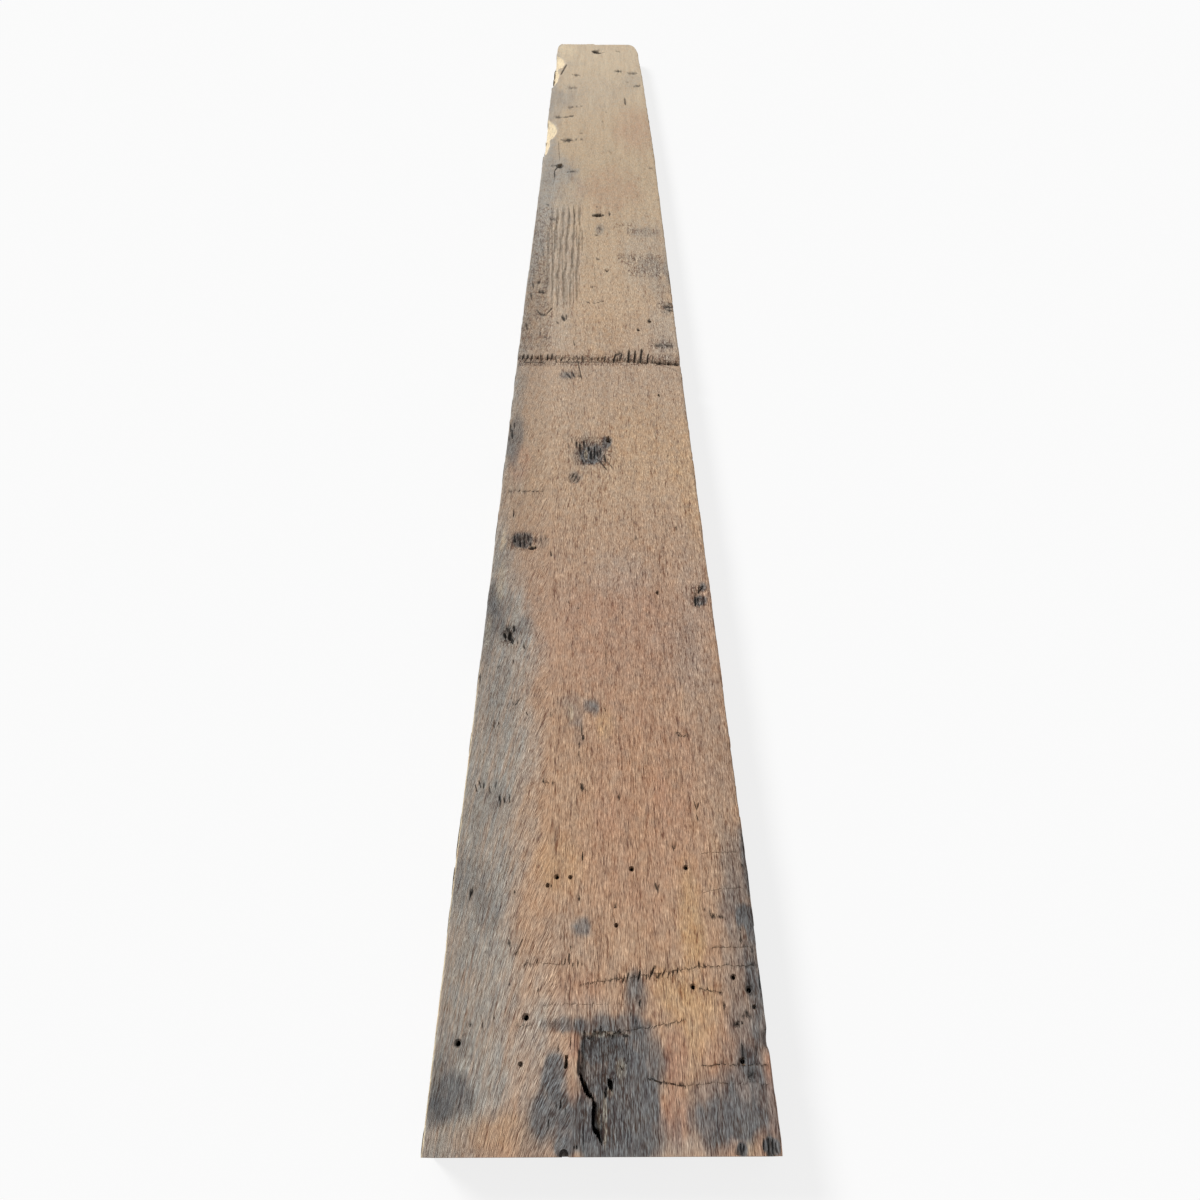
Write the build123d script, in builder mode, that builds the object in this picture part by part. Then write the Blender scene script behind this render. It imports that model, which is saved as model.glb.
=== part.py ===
from build123d import *
from math import hypot
import os

# A reclaimed oak plank, one sawn piece, lying on its underside. Millimetres.
# X runs across the width, Y along the grain from the near end to the far end, Z up.
# The origin is the middle of the underside.

# Driving sizes
length = 2500
width = 242
thickness = 45

# Worn arrises of the long edges and the far end
upper_arris_radius = 2.0
lower_arris_radius = 1.2

# How far the long edges stand in from the full width, and where along the plank
belly_from_near = 185
waist_from_near = 870
taper_from_far = 790
narrows_from_far = 390
near_end_inset = 0.8
right_waist_inset = 1.5
left_waist_inset = 1.0
right_taper_inset = 0.4
left_taper_inset = 4.0
right_narrows_inset = 4.0
left_narrows_inset = 5.0
right_far_inset = 9.0
left_far_inset = 8.5

# Far corners, broken off and worn round: across the width, then along the length
right_corner_across = 26
right_corner_along = 88
left_corner_across = 12.5
left_corner_along = 65

# The step in the far end, whose right part stops short
far_step = 8
far_step_run = 7
far_step_across = -3

# Chips broken out of the upper left arris near the far end: places, lengths along the plank
# and reaches across it
chip_drop = 17
far_chip_from_far = 175
far_chip_length = 140
far_chip_reach = 26
long_chip_from_far = 285
long_chip_length = 190
long_chip_reach = 17
lone_chip_from_far = 668
lone_chip_length = 155
lone_chip_reach = 27
low_chip_from_far = 745
low_chip_length = 165
low_chip_reach = 13

# The small chip out of the upper right arris
notch_from_near = 66
notch_length = 14
notch_reach = 5
notch_drop = 9

# Holes through the plank, and shallow tack holes
spike_hole_diameter = 5.5
nail_hole_diameter = 4.5
tack_hole_diameter = 3.2
tack_hole_depth = 18
bolt_hole_diameter = 12

# The hole that the saw cut open when the near end was squared
sawn_hole_diameter = 6.4
sawn_hole_across = -25.3
sawn_hole_inset = 1.2

# The bolt hole's place, and its torn mouth, drawn out along the grain
bolt_hole_from_left = 41
bolt_hole_from_far = 866
bolt_mouth_length = 23
bolt_mouth_width = 15
bolt_mouth_depth = 5
bolt_mouth_floor_share = 0.85

# The splinter torn out at the near end: a sunk floor that slopes down to the tip of a V,
# with a deep crack along its left wall
splinter_far_depth = 2.0
splinter_tip_depth = 7.5
splinter_far = 69.7
splinter_far_skew = 1.7
splinter_tip = 6.8
crack_mouth = 2.8
crack_root = 0.8
crack_depth = 26
splinter_hole_width = 4.0
splinter_hole_length = 7.0
splinter_hole_depth = 16
splinter_hole_across = 6.7
splinter_hole_along = 40.6
slit_width = 1.5
slit_length = 8
slit_depth = 7
slit_across = -24.4
slit_along = 51.7

# The groove worn across the whole width
groove_left_along = 929
groove_middle_along = 924
groove_right_along = 913
groove_left_width = 9
groove_middle_width = 10
groove_right_width = 12
groove_left_depth = 2.5
groove_middle_depth = 3.2
groove_right_depth = 5.5

# The knot at the far end
knot_across = 1.2
knot_from_far = 76
knot_width = 34
knot_length = 38
knot_depth = 4.5
knot_eye_width = 13
knot_eye_length = 18
knot_eye_depth = 13

# A torn pit's floor, as a share of its mouth
pit_floor_share = 0.55

half_length = length / 2
half_width = width / 2


def near(along):
    """The Y of a place measured from the near end."""
    return along - half_length


def far(along):
    """The Y of a place measured from the far end."""
    return half_length - along


def from_right(inset):
    """The X of a place measured in from the right edge."""
    return half_width - inset


def from_left(inset):
    """The X of a place measured in from the left edge."""
    return inset - half_width


def torn_pit(across, y, pit_width, pit_length, depth, floor_share=pit_floor_share):
    """Cut a pit whose mouth is an ellipse on the upper face and whose floor is smaller."""
    with BuildSketch(Plane((across, y, thickness))) as mouth:
        Ellipse(pit_width / 2, pit_length / 2)
    with BuildSketch(Plane((across, y, thickness - depth))) as floor:
        Ellipse(pit_width / 2 * floor_share, pit_length / 2 * floor_share)
    loft([mouth.sketch, floor.sketch], mode=Mode.SUBTRACT)


def arris_chip(edge_x, y, chip_length, reach, drop):
    """Break a crescent out of an upper arris, reach inwards and drop down the side."""
    inwards = reach if edge_x < 0 else -reach
    slope_length = hypot(reach, drop)
    bite = reach * drop / slope_length
    bite_radius = ((chip_length / 2) ** 2 + bite**2) / (2 * bite)
    slope = Plane(
        origin=(edge_x + inwards, y, thickness),
        x_dir=(0, 1, 0),
        z_dir=(-inwards / slope_length, 0, -drop / slope_length),
    )
    outwards = -1 if edge_x < 0 else 1
    with BuildSketch(slope) as bite_outline:
        with Locations((0, outwards * bite_radius)):
            Circle(bite_radius)
    extrude(bite_outline.sketch, amount=2 * slope_length, both=True, mode=Mode.SUBTRACT)


def crack_section(left_wall, mouth):
    """A ribbon as wide as mouth to the right of a wall's points, closed at its tip."""
    right_wall = [(x + mouth, y) for x, y in left_wall[:-1]]
    Polygon(*left_wall, *reversed(right_wall), align=None)


# Spike, nail and tack holes, as (x, y) on the upper face
spike_holes = [
    (from_left(18), near(64.5)),
    (from_left(66), near(80.5)),
    (from_right(10), near(98)),
    (from_right(40.3), near(1025.5)),
]
nail_holes = [
    (from_right(20.5), near(53)),
    (from_right(51.8), near(100)),
    (from_right(20.7), near(106.5)),
    (-35.7, near(180.7)),
    (25.8, near(187)),
    (from_right(50.2), near(188)),
    (61.8, near(1001)),
]
tack_holes = [
    (-57, near(51.7)),
    (12.3, near(143.4)),
    (-24.7, near(180.4)),
    (-43, near(174)),
    (from_right(7.6), near(86.7)),
    (62.7, near(480.5)),
    (from_right(37.2), near(835.7)),
]

# The splinter's left wall, from its far corner down to the tip, and its right wall back up
splinter_left_wall = [
    (-12.5, near(splinter_far)),
    (-16.6, near(45)),
    (-13.7, near(38.8)),
    (-10.3, near(31.6)),
    (-6.3, near(28.2)),
    (-7.1, near(16.8)),
    (-4.1, near(12.5)),
    (-0.2, near(splinter_tip)),
]
splinter_right_wall = [
    (1.6, near(10.2)),
    (2.6, near(31.6)),
    (8.6, near(44)),
    (19.9, near(54.5)),
    (20.4, near(splinter_far + splinter_far_skew)),
]
crack_wall = splinter_left_wall[1:]

# Pits torn out of the upper face: x, y, width, length, depth
torn_pits = [
    (-8, near(718), 44, 54, 2.4),
    (12.2, near(739), 7, 11, 8),
    (-29, near(664.4), 17, 22, 2.0),
    (from_left(34.2), near(555.6), 28, 19, 3.0),
    (from_left(27), near(425), 12, 18, 3.0),
    (from_right(12.7), near(476.7), 13, 25, 3.0),
    (0.7, near(1400.7), 15, 15, 3.5),
]

with BuildPart() as plank:
    # Plan outline: a square sawn near end, worn edges, a taper and broken corners far off
    with BuildSketch() as plan:
        with BuildLine():
            right_near = (from_right(near_end_inset), near(0))
            left_near = (from_left(near_end_inset), near(0))
            right_far = (from_right(right_far_inset), far(far_step + right_corner_along))
            left_far = (from_left(left_far_inset), far(left_corner_along))
            Line(left_near, right_near)
            Spline(
                right_near,
                (from_right(0), near(belly_from_near)),
                (from_right(right_waist_inset), near(waist_from_near)),
                (from_right(right_taper_inset), far(taper_from_far)),
                (from_right(right_narrows_inset), far(narrows_from_far)),
                right_far,
                tangents=[(0, 1)] * 6,
            )
            EllipticalCenterArc(
                (right_far[0] - right_corner_across, right_far[1]),
                right_corner_across,
                right_corner_along,
                start_angle=0,
                arc_size=90,
            )
            Polyline(
                (right_far[0] - right_corner_across, far(far_step)),
                (far_step_across, far(far_step)),
                (far_step_across - far_step_run, far(0)),
                (left_far[0] + left_corner_across, far(0)),
            )
            EllipticalCenterArc(
                (left_far[0] + left_corner_across, left_far[1]),
                left_corner_across,
                left_corner_along,
                start_angle=90,
                arc_size=90,
            )
            Spline(
                left_far,
                (from_left(left_narrows_inset), far(narrows_from_far)),
                (from_left(left_taper_inset), far(taper_from_far)),
                (from_left(left_waist_inset), near(waist_from_near)),
                (from_left(0), near(belly_from_near)),
                left_near,
                tangents=[(0, -1)] * 6,
            )
        make_face()
    extrude(amount=thickness)

    # Arrises worn round everywhere but at the sawn near end
    sawn_end = plank.faces().sort_by(Axis.Y)[0]
    upper_edges = plank.faces().sort_by(Axis.Z)[-1].edges() - sawn_end.edges()
    fillet(upper_edges, radius=upper_arris_radius)
    sawn_end = plank.faces().sort_by(Axis.Y)[0]
    lower_edges = plank.faces().sort_by(Axis.Z)[0].edges() - sawn_end.edges()
    fillet(lower_edges, radius=lower_arris_radius)

    # Chips out of the left arris, and the small one out of the right
    for inset, from_far, chip_length, reach in (
        (left_far_inset, far_chip_from_far, far_chip_length, far_chip_reach),
        (left_narrows_inset, long_chip_from_far, long_chip_length, long_chip_reach),
        (left_taper_inset, lone_chip_from_far, lone_chip_length, lone_chip_reach),
        (left_taper_inset, low_chip_from_far, low_chip_length, low_chip_reach),
    ):
        arris_chip(from_left(inset), far(from_far), chip_length, reach, chip_drop)
    arris_chip(from_right(0), near(notch_from_near), notch_length, notch_reach, notch_drop)

    # Nail holes, and the one that the end cut opened
    with Locations(*((x, y, thickness) for x, y in spike_holes)):
        Hole(spike_hole_diameter / 2)
    with Locations(*((x, y, thickness) for x, y in nail_holes)):
        Hole(nail_hole_diameter / 2)
    with Locations(*((x, y, thickness) for x, y in tack_holes)):
        Hole(tack_hole_diameter / 2, depth=tack_hole_depth)
    with Locations((sawn_hole_across, near(sawn_hole_inset), thickness)):
        Hole(sawn_hole_diameter / 2)

    # Bolt hole with its torn mouth
    bolt_x = from_left(bolt_hole_from_left)
    bolt_y = far(bolt_hole_from_far)
    with Locations((bolt_x, bolt_y, thickness)):
        Hole(bolt_hole_diameter / 2)
    torn_pit(
        bolt_x, bolt_y, bolt_mouth_width, bolt_mouth_length, bolt_mouth_depth, bolt_mouth_floor_share
    )

    # Torn splinter: a sloping floor inside a V, cut upwards from the floor
    floor_run = splinter_far - splinter_tip
    floor_fall = splinter_tip_depth - splinter_far_depth
    floor_length = hypot(floor_run, floor_fall)
    splinter_floor = Plane(
        origin=(0, near(splinter_tip), thickness - splinter_tip_depth),
        x_dir=(1, 0, 0),
        z_dir=(0, -floor_fall / floor_length, floor_run / floor_length),
    )
    stretch = floor_length / floor_run
    with BuildSketch(splinter_floor):
        outline = [*splinter_left_wall, *splinter_right_wall]
        Polygon(*((x, (y - near(splinter_tip)) * stretch) for x, y in outline), align=None)
    extrude(amount=2 * splinter_tip_depth, dir=(0, 0, 1), mode=Mode.SUBTRACT)

    # Deep crack along the splinter's left wall, narrowing downwards
    with BuildSketch(Plane.XY.offset(thickness)):
        crack_section(crack_wall, crack_mouth)
    with BuildSketch(Plane.XY.offset(thickness - crack_depth)):
        crack_section(crack_wall, crack_root)
    loft(ruled=True, mode=Mode.SUBTRACT)

    # Hole beside the splinter's right wall, and the slit outside its left wall
    with BuildSketch(Plane((splinter_hole_across, near(splinter_hole_along), thickness))):
        Ellipse(splinter_hole_width / 2, splinter_hole_length / 2)
    extrude(amount=-splinter_hole_depth, mode=Mode.SUBTRACT)
    with BuildSketch(Plane((slit_across, near(slit_along), thickness))):
        SlotOverall(slit_length, slit_width, rotation=90)
    extrude(amount=-slit_depth, mode=Mode.SUBTRACT)

    # Groove across the width: a V that deepens to the right
    for x, along, groove_width, groove_depth in (
        (from_left(0), groove_left_along, groove_left_width, groove_left_depth),
        (0, groove_middle_along, groove_middle_width, groove_middle_depth),
        (from_right(0), groove_right_along, groove_right_width, groove_right_depth),
    ):
        with BuildSketch(Plane((x, near(along), thickness), x_dir=(0, 1, 0), z_dir=(1, 0, 0))):
            Polygon((-groove_width / 2, 0), (0, -groove_depth), (groove_width / 2, 0), align=None)
    loft(mode=Mode.SUBTRACT)

    # Knot at the far end: a shallow bowl with a deep eye
    torn_pit(knot_across, far(knot_from_far), knot_width, knot_length, knot_depth)
    torn_pit(knot_across, far(knot_from_far), knot_eye_width, knot_eye_length, knot_eye_depth)

    # Torn pits
    for pit in torn_pits:
        torn_pit(*pit)

plank.part.label = "plank"
os.makedirs("parts", exist_ok=True)
export_step(plank.part, "parts/plank.step")
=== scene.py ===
import math
from functools import reduce
from operator import add

import bmesh
import bpy
import numpy as np
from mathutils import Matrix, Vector
from mathutils.bvhtree import BVHTree
from mathutils.geometry import delaunay_2d_cdt
from mathutils.kdtree import KDTree


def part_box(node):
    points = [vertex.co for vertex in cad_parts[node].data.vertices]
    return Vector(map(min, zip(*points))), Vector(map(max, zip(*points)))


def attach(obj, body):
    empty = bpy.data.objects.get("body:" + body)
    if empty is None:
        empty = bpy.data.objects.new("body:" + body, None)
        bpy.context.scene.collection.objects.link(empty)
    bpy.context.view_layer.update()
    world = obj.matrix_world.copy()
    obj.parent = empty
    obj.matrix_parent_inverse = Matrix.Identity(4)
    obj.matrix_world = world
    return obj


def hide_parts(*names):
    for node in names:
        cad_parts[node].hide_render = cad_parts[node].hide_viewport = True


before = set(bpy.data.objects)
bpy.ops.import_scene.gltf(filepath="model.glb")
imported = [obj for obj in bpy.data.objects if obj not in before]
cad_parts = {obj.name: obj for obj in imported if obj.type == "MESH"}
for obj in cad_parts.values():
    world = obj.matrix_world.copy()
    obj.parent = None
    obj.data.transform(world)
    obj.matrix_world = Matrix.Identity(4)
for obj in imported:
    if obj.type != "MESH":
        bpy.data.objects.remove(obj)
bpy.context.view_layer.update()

bl_info = {
    "name": "Reclaimed oak plank",
    "version": (1, 0, 0),
    "blender": (4, 5, 0),
    "location": "3D View > Sidebar > Plank",
    "description": "Dresses a sawn oak plank in weathered wood, "
    "with its torn splinter, holes and groove",
    "category": "Object",
}

# Lengths in the tables and in the making are millimetres. x runs across the plank, and along
# is measured from the near end.
MM = 0.001
LOW, HIGH = (np.array(corner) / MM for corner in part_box("plank"))
LENGTH = HIGH[1] - LOW[1]
THICKNESS = HIGH[2] - LOW[2]
NEAR_Y = LOW[1]
DOWN = Vector((0, 0, -1))
TINY = 1e-6


def tone(red, green, blue):
    """A colour as a screen shows it, from 0 to 255, in the light values that a shader takes."""
    shares = (part / 255 for part in (red, green, blue))
    return tuple(s / 12.92 if s <= 0.04045 else ((s + 0.055) / 1.055) ** 2.4 for s in shares)


# The levels at which the frame is cut: through holes only, and all round holes
BORE_LEVEL = 10.3
TACK_LEVEL = THICKNESS - 12.2
# A cut loop is a round hole up to this radius, where its radii differ by no more than this
LARGEST_HOLE = 8
ROUND_TO = 1.06
HOLE_CLEARANCE = 0.4
# The outline: how close its points may lie, how far apart they are up to each length along,
# the step at which insets are measured, and the length at each end that stays straight
OUTLINE_CLOSEST = 0.4
OUTLINE_STEPS = ((400, 2.6), (1000, 4.5), (math.inf, 8))
RIM_STEP = 1.0
END_CALM = 12

# How close the mesh of the upper face is: from, to, step across, step along
BASE_ZONES = (
    (0, 120, 1.3, 2.6),
    (120, 400, 1.8, 4.6),
    (400, 800, 2.4, 6.5),
    (800, 1500, 3.0, 10),
    (1500, 2510, 4.0, 16),
)
# Where it is closer: x from, to, along from, to, step across, step along
CLOSE_PATCHES = (
    (-19, 23, 4, 74, 0.65, 0.8),
    (-120, 120, 904, 938, 1.8, 1.4),
    (-32, 18, 686, 748, 1.0, 1.4),
    (-39, -19, 651, 677, 1.2, 1.7),
    (-104, -72, 544, 568, 1.1, 1.4),
    (-101, -86, 413, 436, 1.1, 1.6),
    (99, 117, 461, 493, 1.0, 1.5),
    (-8, 10, 1391, 1411, 1.6, 1.6),
    (-18, 21, 2402, 2446, 1.6, 2.0),
    (-90, -70, 1620, 1648, 1.0, 1.4),
    (-121, -84, 1668, 1912, 1.9, 4.0),
    (-119, -84, 2118, 2400, 1.9, 4.0),
    (-96, 4, 1000, 1480, 1.45, 7.0),
)
# Rows of points in from the outline, and how far the free points keep from the last of them
ARRIS_ROWS = (0.35, 0.9, 1.6, 2.6)
ARRIS_CLEAR = 0.5
# How close two points may lie, how much longer than wide the face's triangles are, and what
# a row of cells counts for in a cell's number
CLOSEST_MARK = 0.2
ALONG_STRETCH = 2.5
CELL_STRIDE = 1_000_003

# Cut marks: x and along of one end, of the other end, width, depth, how black; the black is
# dirt and painted shade in the cut
CUTS = (
    # near end
    (-18.6, 6, -18.6, 4.2, 1.2, 1.2, 0.9), (-16.6, 6.6, -16.6, 3.9, 1, 1.2, 0.9),
    (-12.4, 16.5, -12.3, 0.5, 0.6, 0.5, 0.75), (-28, 29.2, -28.2, 25.3, 2.1, 1.4, 0.8),
    (-31.4, 29.7, -31, 27.5, 1.4, 0.8, 0.6), (-24.5, 26.9, -24.7, 24.2, 1.1, 0.8, 0.6),
    (-35.8, 18.1, -36, 15.4, 1.4, 0.8, 0.5), (92.8, 5.8, 92.1, 0.5, 1.5, 1.2, 0.8),
    (95.2, 6.3, 94.6, 0.5, 1.3, 1, 0.8), (90.9, 4.2, 90.5, 0.5, 0.9, 0.8, 0.6),
    (108.6, 8.9, 107.8, 1, 1.3, 1.2, 0.8), (111.8, 10, 110.8, 0.5, 1.6, 1.4, 0.85),
    (114.6, 9.5, 113.8, 1, 1.3, 1.2, 0.8), (116.4, 7.4, 116, 1.6, 1.1, 1, 0.7),
    # beside the splinter
    (-24.6, 54.1, -24.2, 49.3, 1.7, 2, 0.95), (-30.8, 62.5, -31, 58.9, 1, 0.7, 0.5),
    (-21.6, 68.7, -22.1, 61.9, 0.9, 0.8, 0.5), (-27.5, 72.4, -27.7, 68, 0.9, 0.35, 0.17),
    (-36.8, 77.4, -36.8, 73.6, 1.1, 0.4, 0.21), (-33.2, 78.7, -33.2, 74.3, 1.2, 0.45, 0.24),
    (-28.8, 79.3, -28.8, 74.9, 1.2, 0.45, 0.24), (-24, 79.3, -24.3, 74.3, 1.2, 0.45, 0.24),
    (-19.3, 78.7, -19.4, 74.9, 1.2, 0.4, 0.24), (-14.9, 79.3, -14.8, 75.5, 1.1, 0.4, 0.21),
    (3.3, 36.5, 3, 32.8, 2.2, 3, 0.75), (29, 91.6, 28.9, 88.3, 1.8, 1.4, 0.9),
    (25.3, 79.3, 25.2, 76.2, 1.2, 0.8, 0.6), (21.8, 83.8, 21.7, 80.6, 1, 0.7, 0.5),
    # left near
    (-105.3, 166.3, -104.2, 171.4, 2.8, 1.8, 0.9), (-70, 169.8, -69.7, 167.5, 1.6, 1, 0.7),
    (-72.5, 133.5, -69.8, 129.1, 2.3, 1, 0.55), (-60.8, 133.5, -65.8, 122.8, 1.2, 0.8, 0.65),
    (-53.7, 117.9, -53.8, 113.7, 1.4, 0.8, 0.6), (-48.4, 120, -49.4, 115.8, 1.2, 0.8, 0.55),
    (-56.7, 116.8, -58.4, 114.4, 1.1, 0.7, 0.5), (-68.9, 103.2, -68.9, 100.8, 1.4, 0.9, 0.65),
    (-47, 99.5, -47, 96.2, 1.1, 0.8, 0.6), (-78, 81.9, -78.5, 79, 1.5, 0.9, 0.6),
    (-95.3, 78.1, -95.4, 74.6, 1.6, 1.1, 0.75), (-86.4, 77.1, -86.6, 73.6, 1.4, 1, 0.75),
    (-62.1, 74.9, -49, 75.2, 0.5, 0.4, 0.5), (-108.5, 264.1, -105.7, 258.4, 1.3, 1, 0.75),
    (-103.8, 257.5, -103.6, 263.6, 1.3, 1, 0.75), (-111.3, 261.2, -109.3, 254.7, 1.2, 0.9, 0.6),
    (-98.7, 259.3, -97.2, 252.8, 1.1, 0.8, 0.55), (-89, 251.4, -87.7, 243.6, 1.8, 1.3, 0.85),
    (-85, 250, -83.8, 243.6, 1.5, 1.2, 0.8), (-80.4, 251.4, -79.5, 244.5, 1.1, 0.9, 0.6),
    (-93.3, 258.4, -92.7, 262.2, 1.1, 0.7, 0.5),
    # left middle
    (-17.3, 164.9, -17.4, 162.5, 1.8, 1.1, 0.8), (-14.9, 199.7, -14.8, 193.9, 1.1, 1.1, 0.85),
    (-23.3, 128.9, -23.3, 127, 1.4, 0.9, 0.75), (-24.3, 123.1, -24.4, 115.8, 1.1, 1.1, 0.85),
    (-27.1, 120, -27.4, 115.5, 1.1, 0.8, 0.65), (-29.8, 119.3, -30.2, 115.1, 1, 0.7, 0.6),
    (-21.2, 117.2, -21.3, 115.1, 1, 0.7, 0.6), (-17.7, 116.9, -17.7, 115, 1, 0.7, 0.55),
    (-14.6, 116.9, -14.7, 115.1, 0.9, 0.6, 0.5), (-43.7, 175.7, -42.7, 174.1, 2.3, 1.3, 0.8),
    (-40.5, 174.5, -40.1, 172.9, 1.6, 1, 0.7), (9.6, 156.1, 13.2, 156.5, 0.9, 0.7, 0.65),
    (12.2, 144.5, 12.2, 142.5, 2, 1.2, 0.75), (-16, 260.3, -16.1, 255.3, 2.7, 1.4, 0.85),
    (16.5, 251.1, 16.8, 247.8, 2.3, 1.3, 0.85), (-50.4, 262.6, -46.8, 263.5, 1.3, 0.8, 0.6),
    (-44.6, 263.3, -40.9, 262.7, 1.2, 0.7, 0.55), (-15.7, 309.1, -15.7, 303, 2.2, 1.2, 0.85),
    (-17.7, 321.1, -16.8, 309.6, 1.5, 0.9, 0.65), (6.2, 405.6, 6.4, 388.6, 1, 0.7, 0.6),
    (3.7, 339.7, 5.6, 334.6, 1.4, 0.9, 0.6), (-47, 334.5, -46.5, 329.1, 1.1, 0.7, 0.55),
    # left edge middle
    (-100.6, 325.4, -99.4, 318, 1.1, 0.8, 0.6), (-95.7, 323.8, -94.6, 317.5, 1.1, 0.8, 0.6),
    (-85, 345.5, -81.1, 341.8, 1.3, 0.8, 0.7), (-81.1, 341.8, -76.7, 350.5, 1.3, 0.8, 0.7),
    (-90, 338.9, -88.3, 343.3, 1.2, 0.8, 0.6), (-71.2, 334.4, -67.5, 330.1, 1.2, 0.8, 0.6),
    (-87.3, 395.2, -86.7, 389.8, 1.1, 0.7, 0.6), (-103.5, 385.8, -99.6, 386.4, 1.7, 0.7, 0.6),
    (-118.8, 376.2, -118.3, 370.4, 2.6, 1.2, 0.8), (-77.7, 412.4, -76.9, 408.6, 1.7, 1, 0.75),
    (-98.8, 427.6, -97.8, 422.5, 3.1, 2, 0.92), (-97.3, 435.2, -96.7, 432, 1.9, 1, 0.75),
    (-93.7, 430.2, -92.5, 420.5, 4.3, 3, 1), (-89.5, 437.2, -88.8, 429.9, 2.1, 1.5, 0.9),
    (-90.5, 421.8, -89.6, 415.5, 3.3, 2.2, 0.95), (-84.7, 417.4, -83.9, 413, 1.3, 0.8, 0.6),
    (-102.6, 608.7, -101.6, 596.9, 1.3, 0.7, 0.7), (-95.3, 499.5, -92.1, 500.9, 1.6, 0.6, 0.45),
    # torn patch above the middle
    (-29.6, 736, -29, 724.9, 2.9, 1.4, 0.8), (-24.9, 732, -23.9, 712, 2.9, 1.8, 0.9),
    (-19.8, 738, -19.4, 725.9, 2.1, 1.2, 0.75), (-17, 719.9, -16.6, 706.1, 1.8, 1.2, 0.75),
    (-13.4, 728.9, -12.9, 719.9, 3, 1.8, 0.9), (-10.5, 718.9, -9.9, 704.2, 3.3, 2.6, 1),
    (-6, 727.9, -5.8, 704.2, 2.6, 2, 0.95), (-2, 718.7, -1.7, 710.1, 2.6, 1.6, 0.9),
    (1.8, 725.9, 1.8, 708.1, 1.7, 1.2, 0.7), (6.9, 711, 8.2, 695.5, 2.6, 1.6, 0.85),
    (-20.9, 700.3, -19.3, 689.7, 1.9, 1.2, 0.7), (-11.7, 700.3, -9.1, 690.7, 1.7, 1, 0.6),
    (1, 696.5, 9.8, 680.3, 1.8, 1.1, 0.75), (-2.8, 704.2, 4.8, 691.7, 1.5, 1, 0.65),
    (11.8, 694.5, 17.4, 683.1, 1.6, 1, 0.6), (-36.2, 742.1, -34.1, 732, 1.6, 0.8, 0.55),
    (-40.6, 732, -39, 721.9, 1.4, 0.7, 0.5), (21.5, 702.3, 23.3, 692.6, 1.4, 0.7, 0.5),
    (-32, 660.8, -27.8, 670.9, 2.1, 1.1, 0.75), (-27.6, 658.9, -24, 668.1, 1.7, 0.9, 0.65),
    (-34, 667.2, -31, 673.7, 1.6, 0.8, 0.55),
    # left torn patch
    (-98.3, 565.9, -97, 557.2, 2.5, 1.4, 0.85), (-92.2, 561.2, -90.6, 551, 2.3, 1.4, 0.85),
    (-87.1, 561.2, -85.9, 551.7, 2.3, 1.4, 0.85), (-86.7, 572.2, -86.1, 566.7, 2, 1, 0.75),
    (-80.1, 558.8, -79, 550.2, 2.1, 1.3, 0.8), (-83, 568.3, -82, 560.4, 1.6, 0.9, 0.6),
    (-95.5, 570.7, -94.7, 563.5, 1.5, 0.9, 0.6), (-74, 563.5, -73, 556.4, 1.6, 0.9, 0.55),
    (-67.6, 562.7, -66.8, 556.4, 1.5, 0.8, 0.5), (-62.1, 564.2, -61.7, 559.4, 1.7, 0.8, 0.6),
    (-78.8, 545.8, -73.4, 548.5, 5.3, 2.6, 0.95), (-55.4, 541.7, -54.2, 534, 1.9, 1, 0.8),
    (-118.6, 771.4, -117, 756.6, 2.7, 1.3, 0.8), (-115.2, 758.7, -113.6, 742.1, 2.9, 1.4, 0.85),
    (-113.3, 774.6, -112.1, 762.9, 1.9, 1, 0.65), (-118.6, 746.2, -117.6, 736, 2, 1, 0.65),
    # dash row on the left
    (-110.5, 640, -107, 641.6, 1.8, 0.6, 0.6), (-105.2, 640.9, -101.4, 642.7, 1.8, 0.6, 0.65),
    (-99.5, 640.4, -95.3, 642, 2.3, 0.8, 0.8), (-93.4, 640.2, -89.3, 641.6, 2.5, 0.9, 0.85),
    (-87.8, 640.6, -84.2, 641.6, 2.1, 0.8, 0.8), (-82.4, 640.6, -79, 641.4, 1.8, 0.6, 0.65),
    (-77, 640.6, -73.9, 641.3, 1.8, 0.6, 0.6), (-71.4, 640.6, -68, 641.1, 1.6, 0.5, 0.5),
    # right edge pit
    (110.1, 486.7, 113.6, 490.9, 2.2, 1.6, 0.9), (108.2, 489.5, 108, 483, 1.5, 1.2, 0.75),
    (103.4, 474.7, 102.7, 463, 2.8, 2.2, 0.95), (106.8, 476.3, 106.6, 471.4, 1.7, 1.3, 0.8),
    (109.9, 469.8, 109.5, 463.7, 1.6, 1.1, 0.75), (112.5, 476.7, 112, 467.8, 1.3, 1, 0.65),
    (106.9, 466.4, 106.6, 460.3, 1.3, 0.9, 0.6),
    # right side
    (62.5, 484.1, 63.3, 478.3, 2.2, 1.5, 0.95), (40.1, 560.5, 44.2, 561.6, 2.4, 0.9, 0.75),
    (90.1, 580.9, 89.9, 576.7, 2.1, 1.1, 0.9), (-22.4, 461.5, -22.2, 458.6, 1.9, 1, 0.75),
    (-34.1, 469.4, -32.4, 467, 1.7, 0.7, 0.5), (55.2, 473.3, 56.1, 469.2, 1.4, 0.6, 0.45),
    (84, 839, 84, 832, 2.5, 1.1, 0.8), (88.4, 709.1, 88.4, 704.2, 1.5, 0.6, 0.5),
    (72.1, 310.1, 74.3, 308, 1.4, 0.8, 0.7), (75.2, 307.6, 80.5, 309.2, 1.2, 0.7, 0.65),
    (80.5, 309.2, 82.6, 306.7, 1.2, 0.7, 0.6), (82.1, 245, 84.1, 237.3, 1.2, 0.9, 0.75),
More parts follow.
